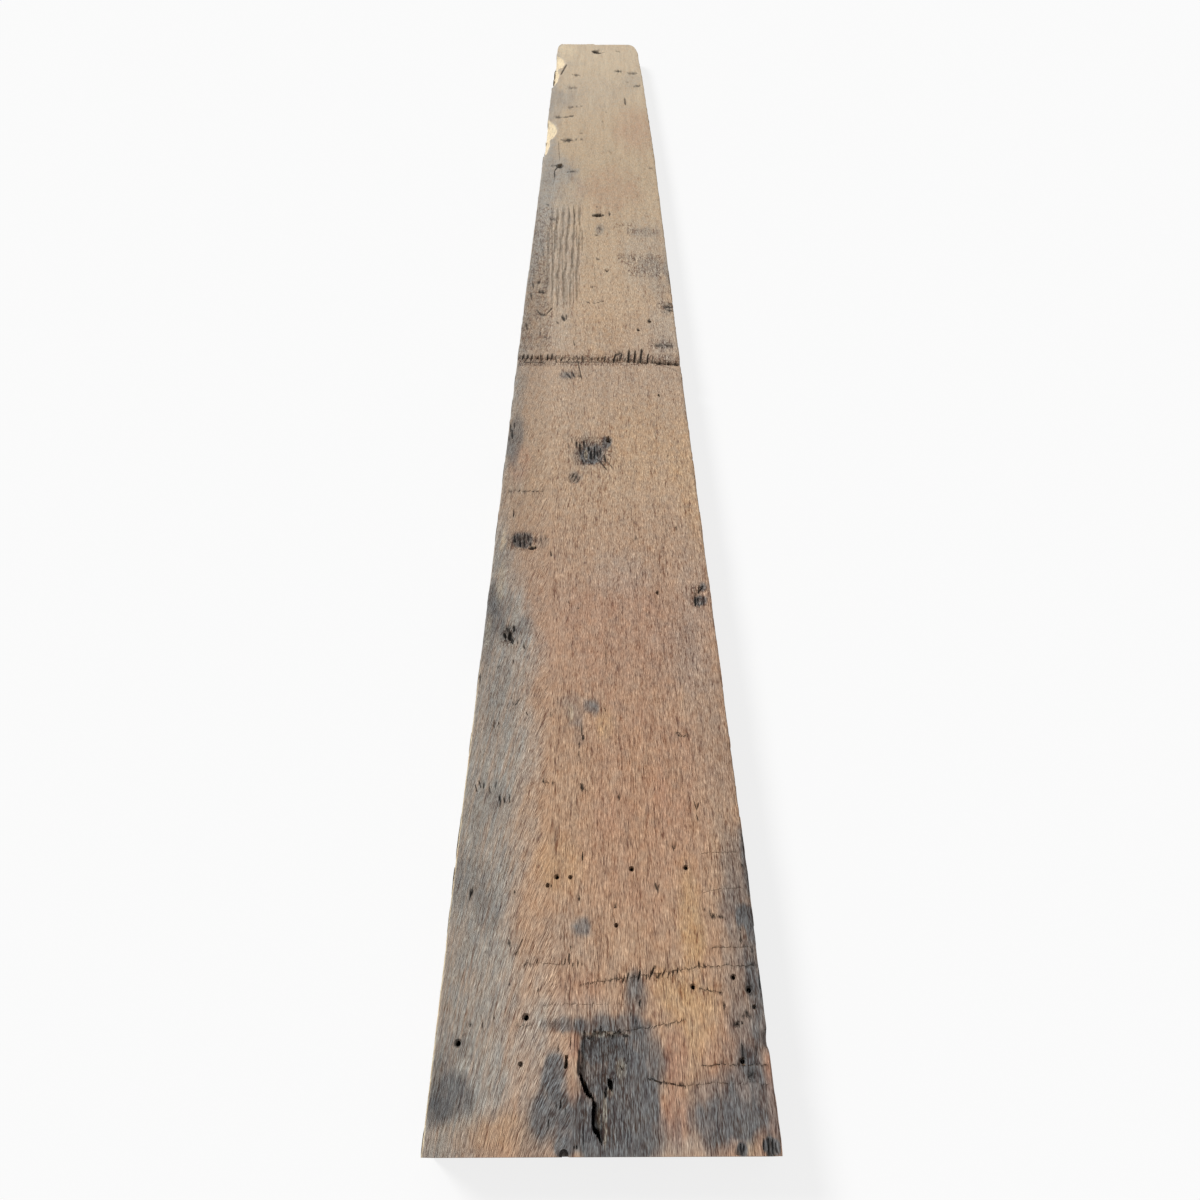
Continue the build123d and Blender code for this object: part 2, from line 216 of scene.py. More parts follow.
    (86.2, 243.6, 84.1, 237.3, 1, 0.8, 0.65), (83.6, 233.7, 84.3, 227.5, 1.1, 0.8, 0.65),
    (60.4, 207.6, 61.6, 203.8, 1.5, 1, 0.7), (63.5, 207.1, 62.1, 203.8, 1.3, 0.8, 0.6),
    (43.9, 175.7, 46.9, 168.4, 2, 1.3, 0.8), (47.9, 174.1, 45.2, 170.2, 1.1, 0.8, 0.6),
    (89.1, 148.5, 91.9, 151.1, 2.5, 1.4, 0.8), (94.7, 149.7, 98.7, 148.7, 2.1, 1.2, 0.75),
    (83.4, 156.5, 83.3, 155, 1.4, 1, 0.8), (91.3, 88.3, 91.2, 86.5, 1.9, 1.3, 0.85),
    (109.5, 133, 109.3, 130.6, 2.5, 1.4, 0.85), (109.5, 140.7, 109.4, 139.3, 1.4, 0.9, 0.7),
    (117.8, 191.3, 117.6, 188.6, 1.8, 1.1, 0.75), (117, 125.3, 117, 122.8, 2, 1, 0.65),
    (107, 85.1, 106.5, 80, 1.4, 1.4, 0.85), (102.3, 80.9, 105.7, 81.7, 1.1, 1, 0.8),
    (97.6, 75.4, 102.7, 76, 3.1, 2.2, 0.8), (101.6, 62.5, 100.8, 55.3, 1.4, 1.1, 0.65),
    (103.1, 43.2, 108, 45.8, 3.2, 1.8, 0.7), (119.9, 106.2, 119.2, 98.2, 1.5, 1, 0.8),
    (119.9, 73.6, 119.4, 68.7, 1.4, 1, 0.7), (120.9, 217.9, 120.5, 211, 1.4, 0.8, 0.6),
    (122.6, 208.5, 122.1, 200.9, 1.2, 0.7, 0.55), (121.7, 187.7, 120.9, 178.1, 1.2, 0.7, 0.55),
    (111.1, 62.5, 110.6, 56.5, 1, 0.7, 0.5),
    # fibre row
    (16, 102.8, 17.9, 107.8, 1.3, 1.3, 0.9), (19.4, 103.2, 20.8, 109.9, 1.4, 1.5, 0.95),
    (24.4, 103.5, 25.7, 108.2, 1.1, 1.1, 0.8), (27.7, 104.3, 30, 111.9, 1.7, 1.7, 1),
    (33.8, 105, 36.2, 108.6, 1.1, 1.1, 0.85), (36.5, 105.5, 41.5, 114.6, 1.4, 1.5, 0.98),
    (42.1, 106.2, 45.3, 109.5, 1.5, 1.4, 0.95), (45.8, 106.9, 48.5, 111.3, 1.4, 1.2, 0.9),
    (50.8, 107.6, 52.5, 110.8, 1.1, 1, 0.8), (54, 108, 55.6, 111.3, 1, 0.9, 0.75),
    (57.7, 108.7, 58.9, 112.5, 1.1, 1.1, 0.85), (74.9, 117.6, 74.7, 112.6, 1.4, 1.4, 0.9),
    (77.9, 115.7, 80.6, 113.7, 1, 0.9, 0.75), (-9.9, 100.4, -8.9, 103.5, 1, 0.8, 0.55),
    (-3.9, 101.2, -2.9, 103.9, 0.9, 0.8, 0.5), (2.1, 102.3, 3.3, 105.1, 1, 0.8, 0.6),
    (6.6, 103, 8, 106.5, 1.1, 0.9, 0.65), (11.1, 103.8, 12.4, 107, 1.1, 0.9, 0.7),
    # groove
    (-113.6, 923.5, -110.3, 937.5, 2.6, 1.6, 0.95), (-108.4, 919.8, -104.2, 936.2, 2.7, 1.6, 0.64),
    (-100.1, 919.5, -98.3, 936.6, 1.6, 1.8, 0.72), (-92.7, 922.5, -89.6, 932.3, 2.6, 1.6, 0.65),
    (-84.6, 917.8, -86.1, 939, 1.8, 1.6, 0.68), (-75.6, 921.2, -75.4, 937.7, 2.2, 1.5, 0.85),
    (-70.9, 922.6, -68.3, 938.7, 2.8, 1.6, 0.73), (-62.4, 917, -63, 929.5, 1.9, 1.5, 0.8),
    (-55.5, 920.1, -55, 930.5, 2.7, 1.5, 0.78), (-46.6, 918.9, -43.9, 926.5, 2.8, 1.4, 0.57),
    (-36.3, 921.1, -37.7, 930.3, 1.8, 1.3, 0.72), (-23.5, 921.3, -23.9, 933.6, 2.4, 1, 0.73),
    (-10.7, 925.7, -10.1, 928.8, 3.1, 1, 0.73), (-2.2, 924.5, 1.1, 930.9, 1.9, 1, 0.73),
    (7.8, 922, 10, 932.3, 2.7, 1, 0.78), (22, 921, 25, 935, 3.2, 2, 1),
    (25, 935, 34, 940, 4.7, 1.5, 0.95), (31, 924, 35, 938, 2.5, 1.4, 0.9),
    (43, 917, 46, 948, 3.6, 2.4, 1), (52, 917, 55, 946, 3.3, 2.2, 0.95),
    (61, 917, 65, 949, 3.6, 2.2, 1), (71, 918, 74, 937, 2.4, 1.4, 0.8),
    (78, 917, 81, 931, 2.2, 1.4, 0.75), (83, 917, 101, 915, 5.6, 2, 0.95),
    (101, 915, 120, 910, 7.6, 3, 1), (-110, 918, -79, 916, 2.6, 0.9, 0.7),
    (-57, 917, -13, 918, 2.3, 0.8, 0.65), (-13, 918, 78, 917, 2.6, 0.9, 0.75),
    (86, 959, 98, 962, 4.8, 1, 0.7), (98, 962, 114, 957, 4, 0.9, 0.6),
    (92, 952, 99, 955, 3.7, 0.8, 0.55), (-47, 891, -40, 876, 2.9, 1.2, 0.75),
    (-39, 892, -34, 878, 2.4, 1.1, 0.7), (-33, 935, -24, 872, 1.7, 0.9, 0.65),
    (-31, 888, -25, 878, 3.9, 1, 0.65),
    # eroded zone
    (-100, 1155, -99, 1144, 4.3, 1.8, 0.9), (-97, 1122, -91, 1115, 9, 1.8, 0.85),
    (-98, 1268, -96, 1241, 3.5, 0.8, 0.32), (-103, 1306, -101, 1276, 4.7, 0.65, 0.26),
    (-90, 1387, -82, 1382, 8.4, 1, 0.6), (-99, 1063, -92, 1049, 2.4, 1.1, 0.75),
    (-92, 1049, -83, 1047, 4.8, 1.1, 0.75), (-83, 1047, -74, 1069, 2.2, 1, 0.7),
    (-57, 1044, -53, 1029, 5.3, 2.2, 0.95), (-51, 1048, -50, 1033, 2.2, 1, 0.7),
    (-65, 1028, -63, 1021, 2.8, 1, 0.7), (-110, 1149, -107, 1130, 2.7, 1, 0.6),
    (-111, 1116, -108, 1094, 2.6, 1, 0.6), (-113, 1025, -110, 1005, 3.1, 1.1, 0.65),
    (-113, 1091, -111, 1066, 2.4, 0.45, 0.22), (-83, 987, -79, 980, 3.1, 1, 0.65),
    (-90, 998, -88, 989, 2.3, 0.8, 0.5), (-38, 974, -36, 960, 2, 0.9, 0.55),
    (-47, 1265, -45, 1217, 2.8, 0.8, 0.28), (-40, 1354, -38, 1276, 3.3, 1.1, 0.3),
    (-29, 1338, -28, 1261, 3.1, 1.1, 0.32), (-56, 1434, -53, 1387, 2.7, 0.7, 0.24),
    (-47, 1439, -43, 1370, 2.8, 0.8, 0.26), (-34, 1437, -33, 1396, 2.9, 0.7, 0.24),
    (-85, 1354, -79, 1217, 3.2, 0.9, 0.28), (-75, 1338, -71, 1239, 3, 0.8, 0.26),
    (-92, 1330, -88, 1261, 2.9, 0.7, 0.26), (-64, 1276, -59, 1139, 2.8, 0.8, 0.24),
    (-53, 1172, -50, 1075, 2.8, 0.8, 0.26), (-43, 1210, -40, 1084, 2.7, 0.9, 0.26),
    (-32, 1175, -30, 1103, 2.3, 0.6, 0.22), (-73, 1217, -68, 1103, 2.5, 0.7, 0.22),
    (-85, 1217, -80, 1122, 2.5, 0.6, 0.2), (-94, 1217, -91, 1169, 2.7, 0.6, 0.22),
    (-105, 1232, -102, 1182, 2.6, 0.5, 0.2), (-110, 1196, -107, 1162, 2.4, 0.45, 0.2),
    (-6, 1207, -5, 1142, 2, 0.5, 0.24), (-13, 1131, -5, 1137, 3.6, 0.8, 0.5),
    # far half
    (-7, 1399, 8, 1401, 13.6, 4, 1), (21, 1410, 22, 1402, 4.2, 1.6, 0.9),
    (-2, 1440, -2, 1433, 2.7, 0.9, 0.5), (-5, 1320, -1, 1317, 6.3, 0.9, 0.6),
    (2, 1352, 7, 1336, 5.9, 1, 0.45), (-2, 1231, 1, 1226, 5.8, 0.9, 0.65),
    (12, 1191, 15, 1183, 3.4, 1.4, 0.9), (15, 1183, 19, 1193, 2.4, 1.1, 0.75),
    (63, 1236, 63, 1224, 2.6, 0.9, 0.6), (-18, 1086, -15, 1083, 4.3, 0.8, 0.6),
    (-9, 1083, -6, 1081, 4.3, 0.8, 0.6), (-2, 1083, 1, 1084, 4.3, 0.8, 0.6),
    (4, 1086, 8, 1089, 5, 0.9, 0.7), (105, 1072, 119, 1070, 6.1, 1.4, 0.8),
    (108, 1063, 117, 1058, 5.1, 1.2, 0.75), (102, 1055, 108, 1052, 4.2, 0.9, 0.6),
    (114, 1080, 120, 1080, 4.6, 1, 0.6),
    # far end
    (51, 2254, 57, 2254, 19.9, 1.8, 0.85), (81, 2240, 102, 2236, 14.7, 1.2, 0.75),
    (54, 2429, 61, 2425, 11.1, 0.9, 0.4), (93, 2130, 105, 2139, 13.7, 1.2, 0.6),
    (65, 2168, 88, 2164, 9.4, 0.7, 0.3), (67, 2048, 67, 1999, 4.1, 1.4, 0.7),
    (-64, 2227, -49, 2221, 12.2, 1, 0.6), (-77, 2119, -53, 2125, 9.1, 0.9, 0.5),
    (-69, 1982, -32, 1992, 8.9, 1.1, 0.65), (-97, 1912, -86, 1916, 11.7, 1.3, 0.75),
    (-78, 1916, -71, 1919, 9.8, 1, 0.65), (-65, 1922, -59, 1927, 11.8, 1.2, 0.8),
    (-39, 1818, -36, 1815, 7.3, 0.8, 0.5), (11, 1890, 12, 1885, 2.8, 0.7, 0.4),
    (20, 1949, 21, 1942, 2.8, 0.7, 0.4), (-78, 1777, -58, 1775, 14.1, 2, 1),
    (-58, 1775, -27, 1781, 8.2, 1.1, 0.75), (-87, 1768, -81, 1662, 1.7, 0.6, 0.45),
    (-84, 1626, -90, 1607, 2.7, 1.4, 0.9), (-90, 1607, -88, 1572, 2.5, 1.3, 0.85),
    (-88, 1572, -91, 1536, 2, 0.5, 0.28), (-105, 1632, -88, 1634, 6.8, 1, 0.5),
    (-61, 1602, -52, 1606, 7.6, 1, 0.6), (-52, 1606, -44, 1603, 6.6, 0.9, 0.55),
    (26, 1707, 28, 1704, 6.6, 0.7, 0.35), (108, 1622, 111, 1618, 7.7, 0.9, 0.5),
    (96, 1617, 98, 1615, 6.2, 0.7, 0.4), (-83, 2311, -96, 2226, 4.8, 1.6, 0.75),
    (-99, 1448, -96, 1443, 7.1, 0.9, 0.5),
    # here and there
    (81, 911, 98, 904, 1.2, 0.5, 0.6), (98, 904, 114, 893, 1.1, 0.5, 0.6),
    (92, 912, 116, 903, 1.0, 0.4, 0.5), (-43, 882, -41, 878, 3, 1.2, 0.9),
    (-49, 886, -46, 884, 2, 0.6, 0.6), (-19, 302, -19, 299, 1.6, 0.8, 0.8),
    (-19.5, 291, -19.5, 289, 2, 0.8, 0.7), (-51.3, 265.5, -50.5, 262.5, 1.6, 0.8, 0.8),
    (-47.5, 263.5, -45.8, 261.5, 1.3, 0.6, 0.7), (-42.8, 264, -42, 261, 1.4, 0.7, 0.75),
    # The strip from (-6, 62) to (15, 62) has no depth: painted shade under the splinter's top edge
    (-17, 261, -16, 256, 2.4, 1.2, 0.85), (-6, 62, 15, 62, 15, 0, 0.18),
    (111.1, 103, 111.1, 95.5, 6.5, 0, 0.55), (-78.2, 1640, -78.2, 1623, 12, 0, 0.85),
    (96.5, 75, 102, 76.5, 4, 0.6, 0.7), (105.7, 84, 110.2, 79.4, 2.2, 0.8, 0.8),
    (104.8, 48, 104.8, 43, 5.5, 0.3, 0.45), (101, 62, 101.5, 55, 4.5, 0.3, 0.5),
    (-15.8, 60, -16.4, 45, 2.2, 0.3, 0.8), (3.4, 38, 2.2, 31.5, 1.6, 0.5, 0.75),
    # These two are small far holes drawn as black marks: painted shade inside them
    (79.6, 1032, 78.3, 1023, 4.4, 0.8, 1), (61, 1007, 60.5, 1000, 3.2, 0.8, 1),
    (112.6, 8, 112.6, 2, 9, 0, 0.35), (92.3, 6, 92.3, 2, 5.5, 0, 0.35),
    (113, 155, 119, 143, 14, 0, 0.2), (87.5, 151.5, 90.5, 148.5, 3, 1.2, 0.85),
    (93.5, 150, 96.5, 149, 2, 1, 0.7), (70, 313, 73, 311, 1.4, 0.7, 0.8),
    (73.5, 312, 76, 309, 1.2, 0.6, 0.8), (77, 309, 79, 307, 1.2, 0.6, 0.7),
    (80, 311, 83, 309, 1, 0.5, 0.6), (-16, 257, -12, 256, 1.2, 0.6, 0.7),
    (-11, 2429, 3, 2428, 20, 1.5, 1), (4, 2424, 17, 2419, 11, 0.8, 0.6),
)
# Score lines across the grain: the places they run through, width, depth, how black; the
# black is dirt and painted shade in the line
SCORE_LINES = (
    (
        (
            (-16, 102.2), (-0.9, 103.8), (17.2, 106.2), (37, 108.9), (59.9, 111.7), (75.3, 113.7),
            (93.7, 114.7), (113.4, 114.4), (120, 114.4),
        ),
        0.6, 0.6, 0.5,
    ),
    (((32.7, 42.4), (39.4, 41.5), (46.3, 40.3), (53.1, 38.8), (58.6, 37.7)), 1, 1.2, 0.85),
    (((58.6, 38.8), (71.3, 40), (89.5, 40.2), (118, 40)), 0.5, 0.5, 0.26),
    (((73.2, 98.8), (79.8, 97.9), (87.2, 97.2), (91.6, 96.6)), 0.7, 0.7, 0.72),
    (((18.5, 72), (33, 73.6), (45.6, 75.8), (61.7, 78.2)), 0.6, 0.6, 0.63),
    (((-6.8, 70.3), (6.2, 71.5), (18.5, 72)), 0.6, 0.4, 0.2),
    (((81.8, 167.9), (96.7, 171.1), (117.1, 171.5)), 0.6, 0.4, 0.26),
    (((84, 200.1), (98.3, 200.6), (115, 200.2)), 0.7, 0.4, 0.23),
    (((83.4, 127), (97.4, 127.4), (120.6, 127)), 0.6, 0.5, 0.33),
    (((70.9, 50.7), (89.3, 51.1), (103.4, 50.7), (118.2, 50.6)), 0.7, 0.6, 0.54),
    (((-43.1, 88.6), (-26.1, 89.2), (-7.6, 88.7), (28.6, 89.5)), 0.5, 0.4, 0.26),
    (((-60.4, 115.9), (-42.9, 116.2), (-26.8, 115.8)), 0.6, 0.4, 0.23),
)
# Soft stains: x, along, half width, half length, strength, softness
STAINS = {
    "iron": (
        (-105, 33, 18, 12.5, 0.65, 0.8), (-115, 25, 9.6, 8.9, 0.6, 0.8),
        (-116, 47, 9.8, 12.9, 0.45, 0.8), (-103, 64, 10.1, 7.4, 0.27, 0.8),
        (-34, 46, 10, 15, 0.85, 0.5), (-33, 22, 18, 16, 0.7, 0.8), (17, 30, 20.6, 28.1, 0.9, 0.5),
        (13, 9, 25.4, 11.7, 0.75, 0.6), (33, 55, 12.1, 23.9, 0.75, 0.6), (8, 74, 32, 8.2, 0.8, 0.7),
        # The strong stain at x 3, along 63 is iron stain and painted shade under the splinter's top
        # edge
        (3, 63, 17.2, 9.8, 0.95, 0.4), (-1, 47, 15.5, 12.9, 0.7, 0.6),
        (-9, 20, 9.5, 16.4, 0.6, 0.7), (26, 92, 8.5, 14.4, 0.42, 0.9), (25, 102, 6, 9.4, 0.41, 0.8),
        (-26, 76, 16, 5, 0.6, 0.7), (-15, 6, 17.3, 6.3, 0.6, 0.7), (-15, 142, 6.8, 6.2, 0.75, 0.7),
        (-26, 139, 12.5, 14.6, 0.12, 0.9), (-9, 341, 8, 8.5, 0.6, 0.8),
        (-23, 330, 8.6, 10.7, 0.4, 0.8), (-29, 347, 13.5, 7.8, 0.3, 0.9),
        (-20, 313, 4.7, 12.5, 0.25, 0.7), (-116, 455, 12.7, 37.4, 0.65, 0.6),
        (-103, 463, 12.8, 16.2, 0.41, 0.8), (-116, 406, 8.1, 27.1, 0.4, 0.8),
        (-80, 436, 9.4, 11.7, 0.45, 0.7), (-111, 740, 11.8, 48.9, 0.55, 0.5),
        (-112, 807, 11, 35.7, 0.1, 0.8), (-111, 865, 8.5, 38.4, 0.19, 0.8),
        (-109, 528, 7.9, 18.1, 0.2, 0.8), (-102, 241, 15.7, 23.6, 0.12, 0.9),
        (-89, 250, 14.1, 12.9, 0.12, 0.8), (-87, 154, 9.6, 16.6, 0.36, 0.8),
        (-110, 179, 16.4, 23.9, 0.3, 0.9), (-97, 348, 19.3, 37.8, 0.18, 0.9),
        (117, 150, 10.3, 11.2, 0.95, 0.5), (119, 140, 5.5, 10.2, 0.8, 0.6),
        (123, 190, 5.8, 32.6, 0.55, 0.8), (117, 97, 8.2, 19.9, 0.75, 0.7),
        (115, 70, 7.2, 16.2, 0.65, 0.7), (115, 120, 6.9, 14, 0.55, 0.8),
        (106, 52, 11.3, 11.9, 0.4, 0.8), (90, 20, 23.1, 13.1, 0.66, 0.8),
        (75, 17, 14.9, 12, 0.45, 0.8), (106, 25, 10.9, 11.1, 0.4, 0.8),
        (112, 5, 6, 5.8, 0.95, 0.35), (93, 3, 4, 4.2, 0.95, 0.4), (-27, 4, 6, 4.7, 0.8, 0.6),
        (-9, 714, 16.8, 21.7, 0.75, 0.6), (-12, 715, 25.8, 31.6, 0.35, 0.9),
        (10, 736, 6.5, 10.2, 0.7, 0.6), (-29, 666, 8.7, 11.1, 0.45, 0.7),
        (-89, 560, 13.8, 11.1, 0.7, 0.6), (-67, 557, 8.1, 9.4, 0.3, 0.8),
        (108, 471, 7.5, 9.6, 0.8, 0.5), (113, 489, 3.8, 5.7, 0.7, 0.6),
        (-94, 427, 10.4, 11.5, 0.36, 0.8), (-87, 1601, 39.3, 71, 0.11, 0.8),
        (-106, 1514, 15.9, 75.2, 0.15, 0.8), (-50, 1605, 16.6, 20.4, 0.15, 0.8),
        (-101, 2014, 24.3, 98, 0.06, 0.8), (-78, 2055, 29.6, 72.2, 0.1, 0.9),
        (-72, 2309, 32.3, 25.8, 0.03, 0.8), (-96, 1230, 20.8, 157.5, 0.05, 0.8),
        (-106, 1094, 14.6, 81.1, 0.03, 0.8), (-63, 1231, 27.7, 164.7, 0.06, 0.9),
        (-112, 982, 12.2, 60.6, 0.1, 0.8), (-44, 884, 12, 9, 0.6, 0.8),
        (-118, 1457, 9.6, 177.9, 0.05, 0.9), (90, 1197, 20.5, 41.8, 0.21, 0.8),
        (117, 1197, 6, 48.8, 0.3, 0.7), (82, 1330, 25.6, 19.9, 0.15, 0.8),
        (101, 1123, 16.5, 38.7, 0.18, 0.9), (111, 1069, 9.6, 18.3, 0.3, 0.7),
        (100, 961, 15.1, 10.8, 0.3, 0.7), (88, 2182, 23.2, 63.1, 0.07, 0.9),
        (3, 1342, 7.4, 20.1, 0.3, 0.6), (86, 410, 14.3, 49.5, 0.16, 0.9),
        (110, 168, 15, 56, 0.56, 0.9), (106, 300, 15, 70, 0.15, 0.9), (108, 96, 15, 44, 0.42, 0.9),
        (103, 30, 22, 26, 0.65, 0.9), (14, 10, 38, 16, 0.68, 0.9), (-36, 16, 24, 24, 0.38, 0.9),
        (-20, 14, 16, 12, 0.65, 0.9), (-13, 20, 9, 14, 0.75, 0.8), (-6, 337, 5, 7, 0.5, 0.8),
        (104, 60, 14, 30, 0.3, 0.9), (78, 24, 20, 22, 0.49, 0.9), (27, 96, 9, 14, 0.3, 0.9),
    ),
    "grey": (
        (-87, 1601, 39.3, 71, 0.57, 0.8), (-106, 1514, 15.9, 75.2, 0.47, 0.8),
        (-50, 1605, 16.6, 20.4, 0.47, 0.8), (-101, 2014, 24.3, 98, 0.37, 0.8),
        (-78, 2055, 29.6, 72.2, 0.33, 0.9), (-72, 2309, 32.3, 25.8, 0.17, 0.8),
        (-96, 1230, 20.8, 157.5, 0.15, 0.8), (-106, 1094, 14.6, 81.1, 0.05, 0.8),
        (-63, 1231, 27.7, 164.7, 0.17, 0.9), (-118, 1457, 9.6, 177.9, 0.03, 0.9),
        (90, 1197, 20.5, 41.8, 0.17, 0.8), (117, 1197, 6, 48.8, 0.25, 0.7),
        (82, 1330, 25.6, 19.9, 0.12, 0.8), (101, 1123, 16.5, 38.7, 0.15, 0.9),
        (88, 2182, 23.2, 63.1, 0.24, 0.9), (3, 1342, 7.4, 20.1, 0.25, 0.6),
        (96, 330, 18, 150, 0.1, 0.9), (101, 480, 12.9, 110.7, 0.14, 0.9),
        (73, 407, 22.4, 36.9, 0.12, 0.9), (-34, 128, 32, 26, 0.15, 0.9),
        (-58, 70, 26, 42, 0.35, 0.9), (23, 507, 33.2, 34.9, 0.22, 0.9),
        (-50, 47, 23.8, 35.1, 0.24, 0.9), (-23, 85, 36.8, 9, 0.35, 0.9),
        (39, 5, 59.9, 6.3, 0.3, 0.8), (-109, 670, 17.5, 44.5, 0.3, 0.8),
        (-110, 585, 16.4, 32.8, 0.1, 0.8), (-19, 2073, 99.1, 131.4, 0.18, 0.9),
        (-76, 1520, 47.7, 141.5, 0.35, 0.9), (87, 1250, 45.6, 124.5, 0.3, 0.9),
        (-78, 1213, 44.4, 216.9, 0.26, 0.8), (-44, 989, 76.5, 38.9, 0.14, 0.9),
        (101, 1006, 21.6, 84.8, 0.3, 0.9),
    ),
    "gold": (
        (71, 150, 9, 44, 0.8, 0.9), (66, 84, 20, 24, 0.65, 0.9), (5, 319, 8.5, 15.8, 0.6, 0.8),
        (-34, 191, 21.6, 21.3, 0.4, 0.9), (53, 98, 16.5, 16, 0.35, 0.9),
        (101, 9, 3.3, 9.1, 0.9, 0.6), (113, 669, 17.4, 110.6, 0.3, 0.9), (13.5, 48, 3, 8, 0.9, 0.5),
        (-60, 14, 36, 11, 0.24, 0.9), (-11, 2, 9.3, 2.1, 0.7, 0.7), (63, 55, 11.3, 20.3, 0.3, 0.9),
        (54, 743, 52.4, 81.7, 0.25, 0.9), (2, 990, 39.8, 61.2, 0.25, 0.9),
        (35, 249, 14, 55.1, 0.2, 0.9),
    ),
    "red": (
        (54, 57, 9.2, 20.4, 0.8, 0.7), (50, 21, 9.5, 15.4, 0.65, 0.8),
        (119, 41, 4.2, 25.4, 0.9, 0.7), (115, 19, 5.4, 6.6, 0.8, 0.8),
        (-20, 57, 4.3, 15.7, 0.55, 0.7), (33, 206, 50.4, 58.8, 0.35, 0.9),
        (21, 423, 72, 75.7, 0.3, 0.9), (45, 278, 54.2, 58.3, 0.3, 0.9),
        (-101, 699, 12.7, 34.8, 0.4, 0.8), (-20, 30, 8.3, 6.7, 0.4, 0.8),
        (96, 32, 30, 46, 0.35, 0.9), (-17, 98, 19.4, 12, 0.35, 0.9), (102, 150, 7.1, 6.7, 0.3, 0.8),
        (-24, 6, 5.3, 4.2, 0.4, 0.8), (24, 1515, 59.7, 94.1, 0.25, 0.9),
        (82, 1839, 40.9, 122.8, 0.3, 0.9),
    ),
    "pale": (
        (-20, 49, 3, 6.5, 0.25, 0.5), (3, 70, 16.6, 1.4, 0.18, 0.5),
        (-28, 333, 2.1, 7.6, 0.32, 0.6), (2, 21, 1.5, 12.1, 0.2, 0.5), (14, 48, 3.5, 6, 0.12, 0.8),
        (6, 35, 2.1, 2.3, 0.2, 0.6), (-88, 2439, 28, 56, 0.6, 0.9), (-17, 714, 1.7, 9.9, 0.36, 0.5),
        (10, 684, 3, 5.7, 0.32, 0.5), (-76, 551, 3.9, 2.2, 0.4, 0.5), (-2, 20, 1.1, 6.6, 0.3, 0.8),
        (-116, 428, 3.1, 20.5, 0.27, 0.8), (-108, 492, 4.4, 28.4, 0.25, 0.9),
        (15, 1200, 4.1, 5.6, 0.36, 0.5), (98, 4, 1.2, 3.7, 0.16, 0.6),
        (-111, 559, 2.3, 15.8, 0.36, 0.8),
    ),
}

# The marks that the material reads from the mesh
MARK_NAMES = ("grey", "iron", "gold", "red", "pale", "dark", "torn", "eroded")
# The order in which the stains lie over each other
STAIN_ORDER = ("grey", "gold", "red", "iron", "pale")
# Where the greyed left side ends: along, x; how wide its edge is, and how grey it is
GREY_BAND = (
    (0, -92), (13, -88), (22, -72), (37, -57), (60, -69), (92, -64), (119, -62), (147, -76),
    (178, -66), (211, -66), (246, -70), (284, -63), (325, -67), (358, -70), (393, -65),
    (444, -73), (484, -84), (528, -102), (591, -111), (661, -113), (738, -108), (824, -110),
    (921, -110), (1010, -110), (1110, -104), (1500, -70), (1640, -74), (1760, -94),
    (2500, -106),
)
GREY_EDGE = 38
GREYEST = 0.86
# Where the leaning fibres of the left side meet the straight ones: along, x; how wide the
# seam is; and where they have straightened, over which length
LEAN_BOUNDARY = (
    (0, -20), (60, -22), (110, -30), (165, -42), (330, -48), (470, -54), (700, -64), (900, -72),
    (1500, -90),
)
LEAN_EDGE = 12
LEAN_STOP = 1500
LEAN_FADE = 500
# The flame figure of the left side: where it starts, how steep its curves are there and how
# fast they steepen to the left, and how close they lie
FLAME_X = -5.0
FLAME_STEEP = 1.5
FLAME_BEND = 0.0006
FLAME_CLOSE = 2.6
# Torn areas: x from, to, along from, to, how much
TORN_AREAS = (
    (-118, 118, 908, 934, 0.9),
    (-30, 16, 690, 744, 0.8),
    (-104, -72, 545, 567, 0.8),
    (-101, -88, 414, 435, 0.9),
    (100, 116, 463, 491, 0.8),
    (-14, 20, 8, 70, 0.55),
    (-40, -10, 98, 104, 0.2),
    (12, 60, 102, 112, 0.35),
    (28, 62, 1352, 1362, 0.9),
    (34, 66, 1215, 1248, 0.7),
    (-116, -84, 1080, 1430, 0.7),
    (-95, -76, 1370, 1398, 0.6),
    (-112, -82, 1240, 1345, 0.7),
    (-98, -73, 1045, 1085, 0.6),
    (-119, -104, 975, 1060, 0.6),
    (-119, -72, 945, 1085, 0.5),
    (54, 106, 1322, 1346, 0.6),
    (50, 110, 1165, 1245, 0.6),
    (94, 118, 1062, 1082, 0.7),
    (80, 112, 952, 970, 0.7),
)
# How far a torn area reaches past its box and over what length it fades, each way
TORN_ACROSS = (3, 4)
TORN_ALONG = (4, 6)
# Where the eroded ridges lie: from, fading in over, to, fading out over
ERODED_ACROSS = (-94, 16, -24, 12)
ERODED_ALONG = (1060, 50, 1460, 60)
# How dark the walls of the holes are painted, up to a length along and past it: dirt, and
# painted shade deep in the holes
HOLE_DIRT_AND_SHADE = 0.45
FAR_HOLE_DIRT_AND_SHADE = 0.95
FAR_HOLES = 1500
# The wood's tone down the plank where nothing stains it
BASE_TONES = (
    (0, tone(173, 141, 117)),
    (211, tone(175, 142, 115)),
    (470, tone(169, 139, 117)),
    (660, tone(177, 150, 125)),
    (921, tone(174, 151, 130)),
    (1090, tone(183, 158, 132)),
    (1560, tone(180, 159, 133)),
    (1896, tone(185, 164, 138)),
    (2348, tone(195, 177, 152)),
)

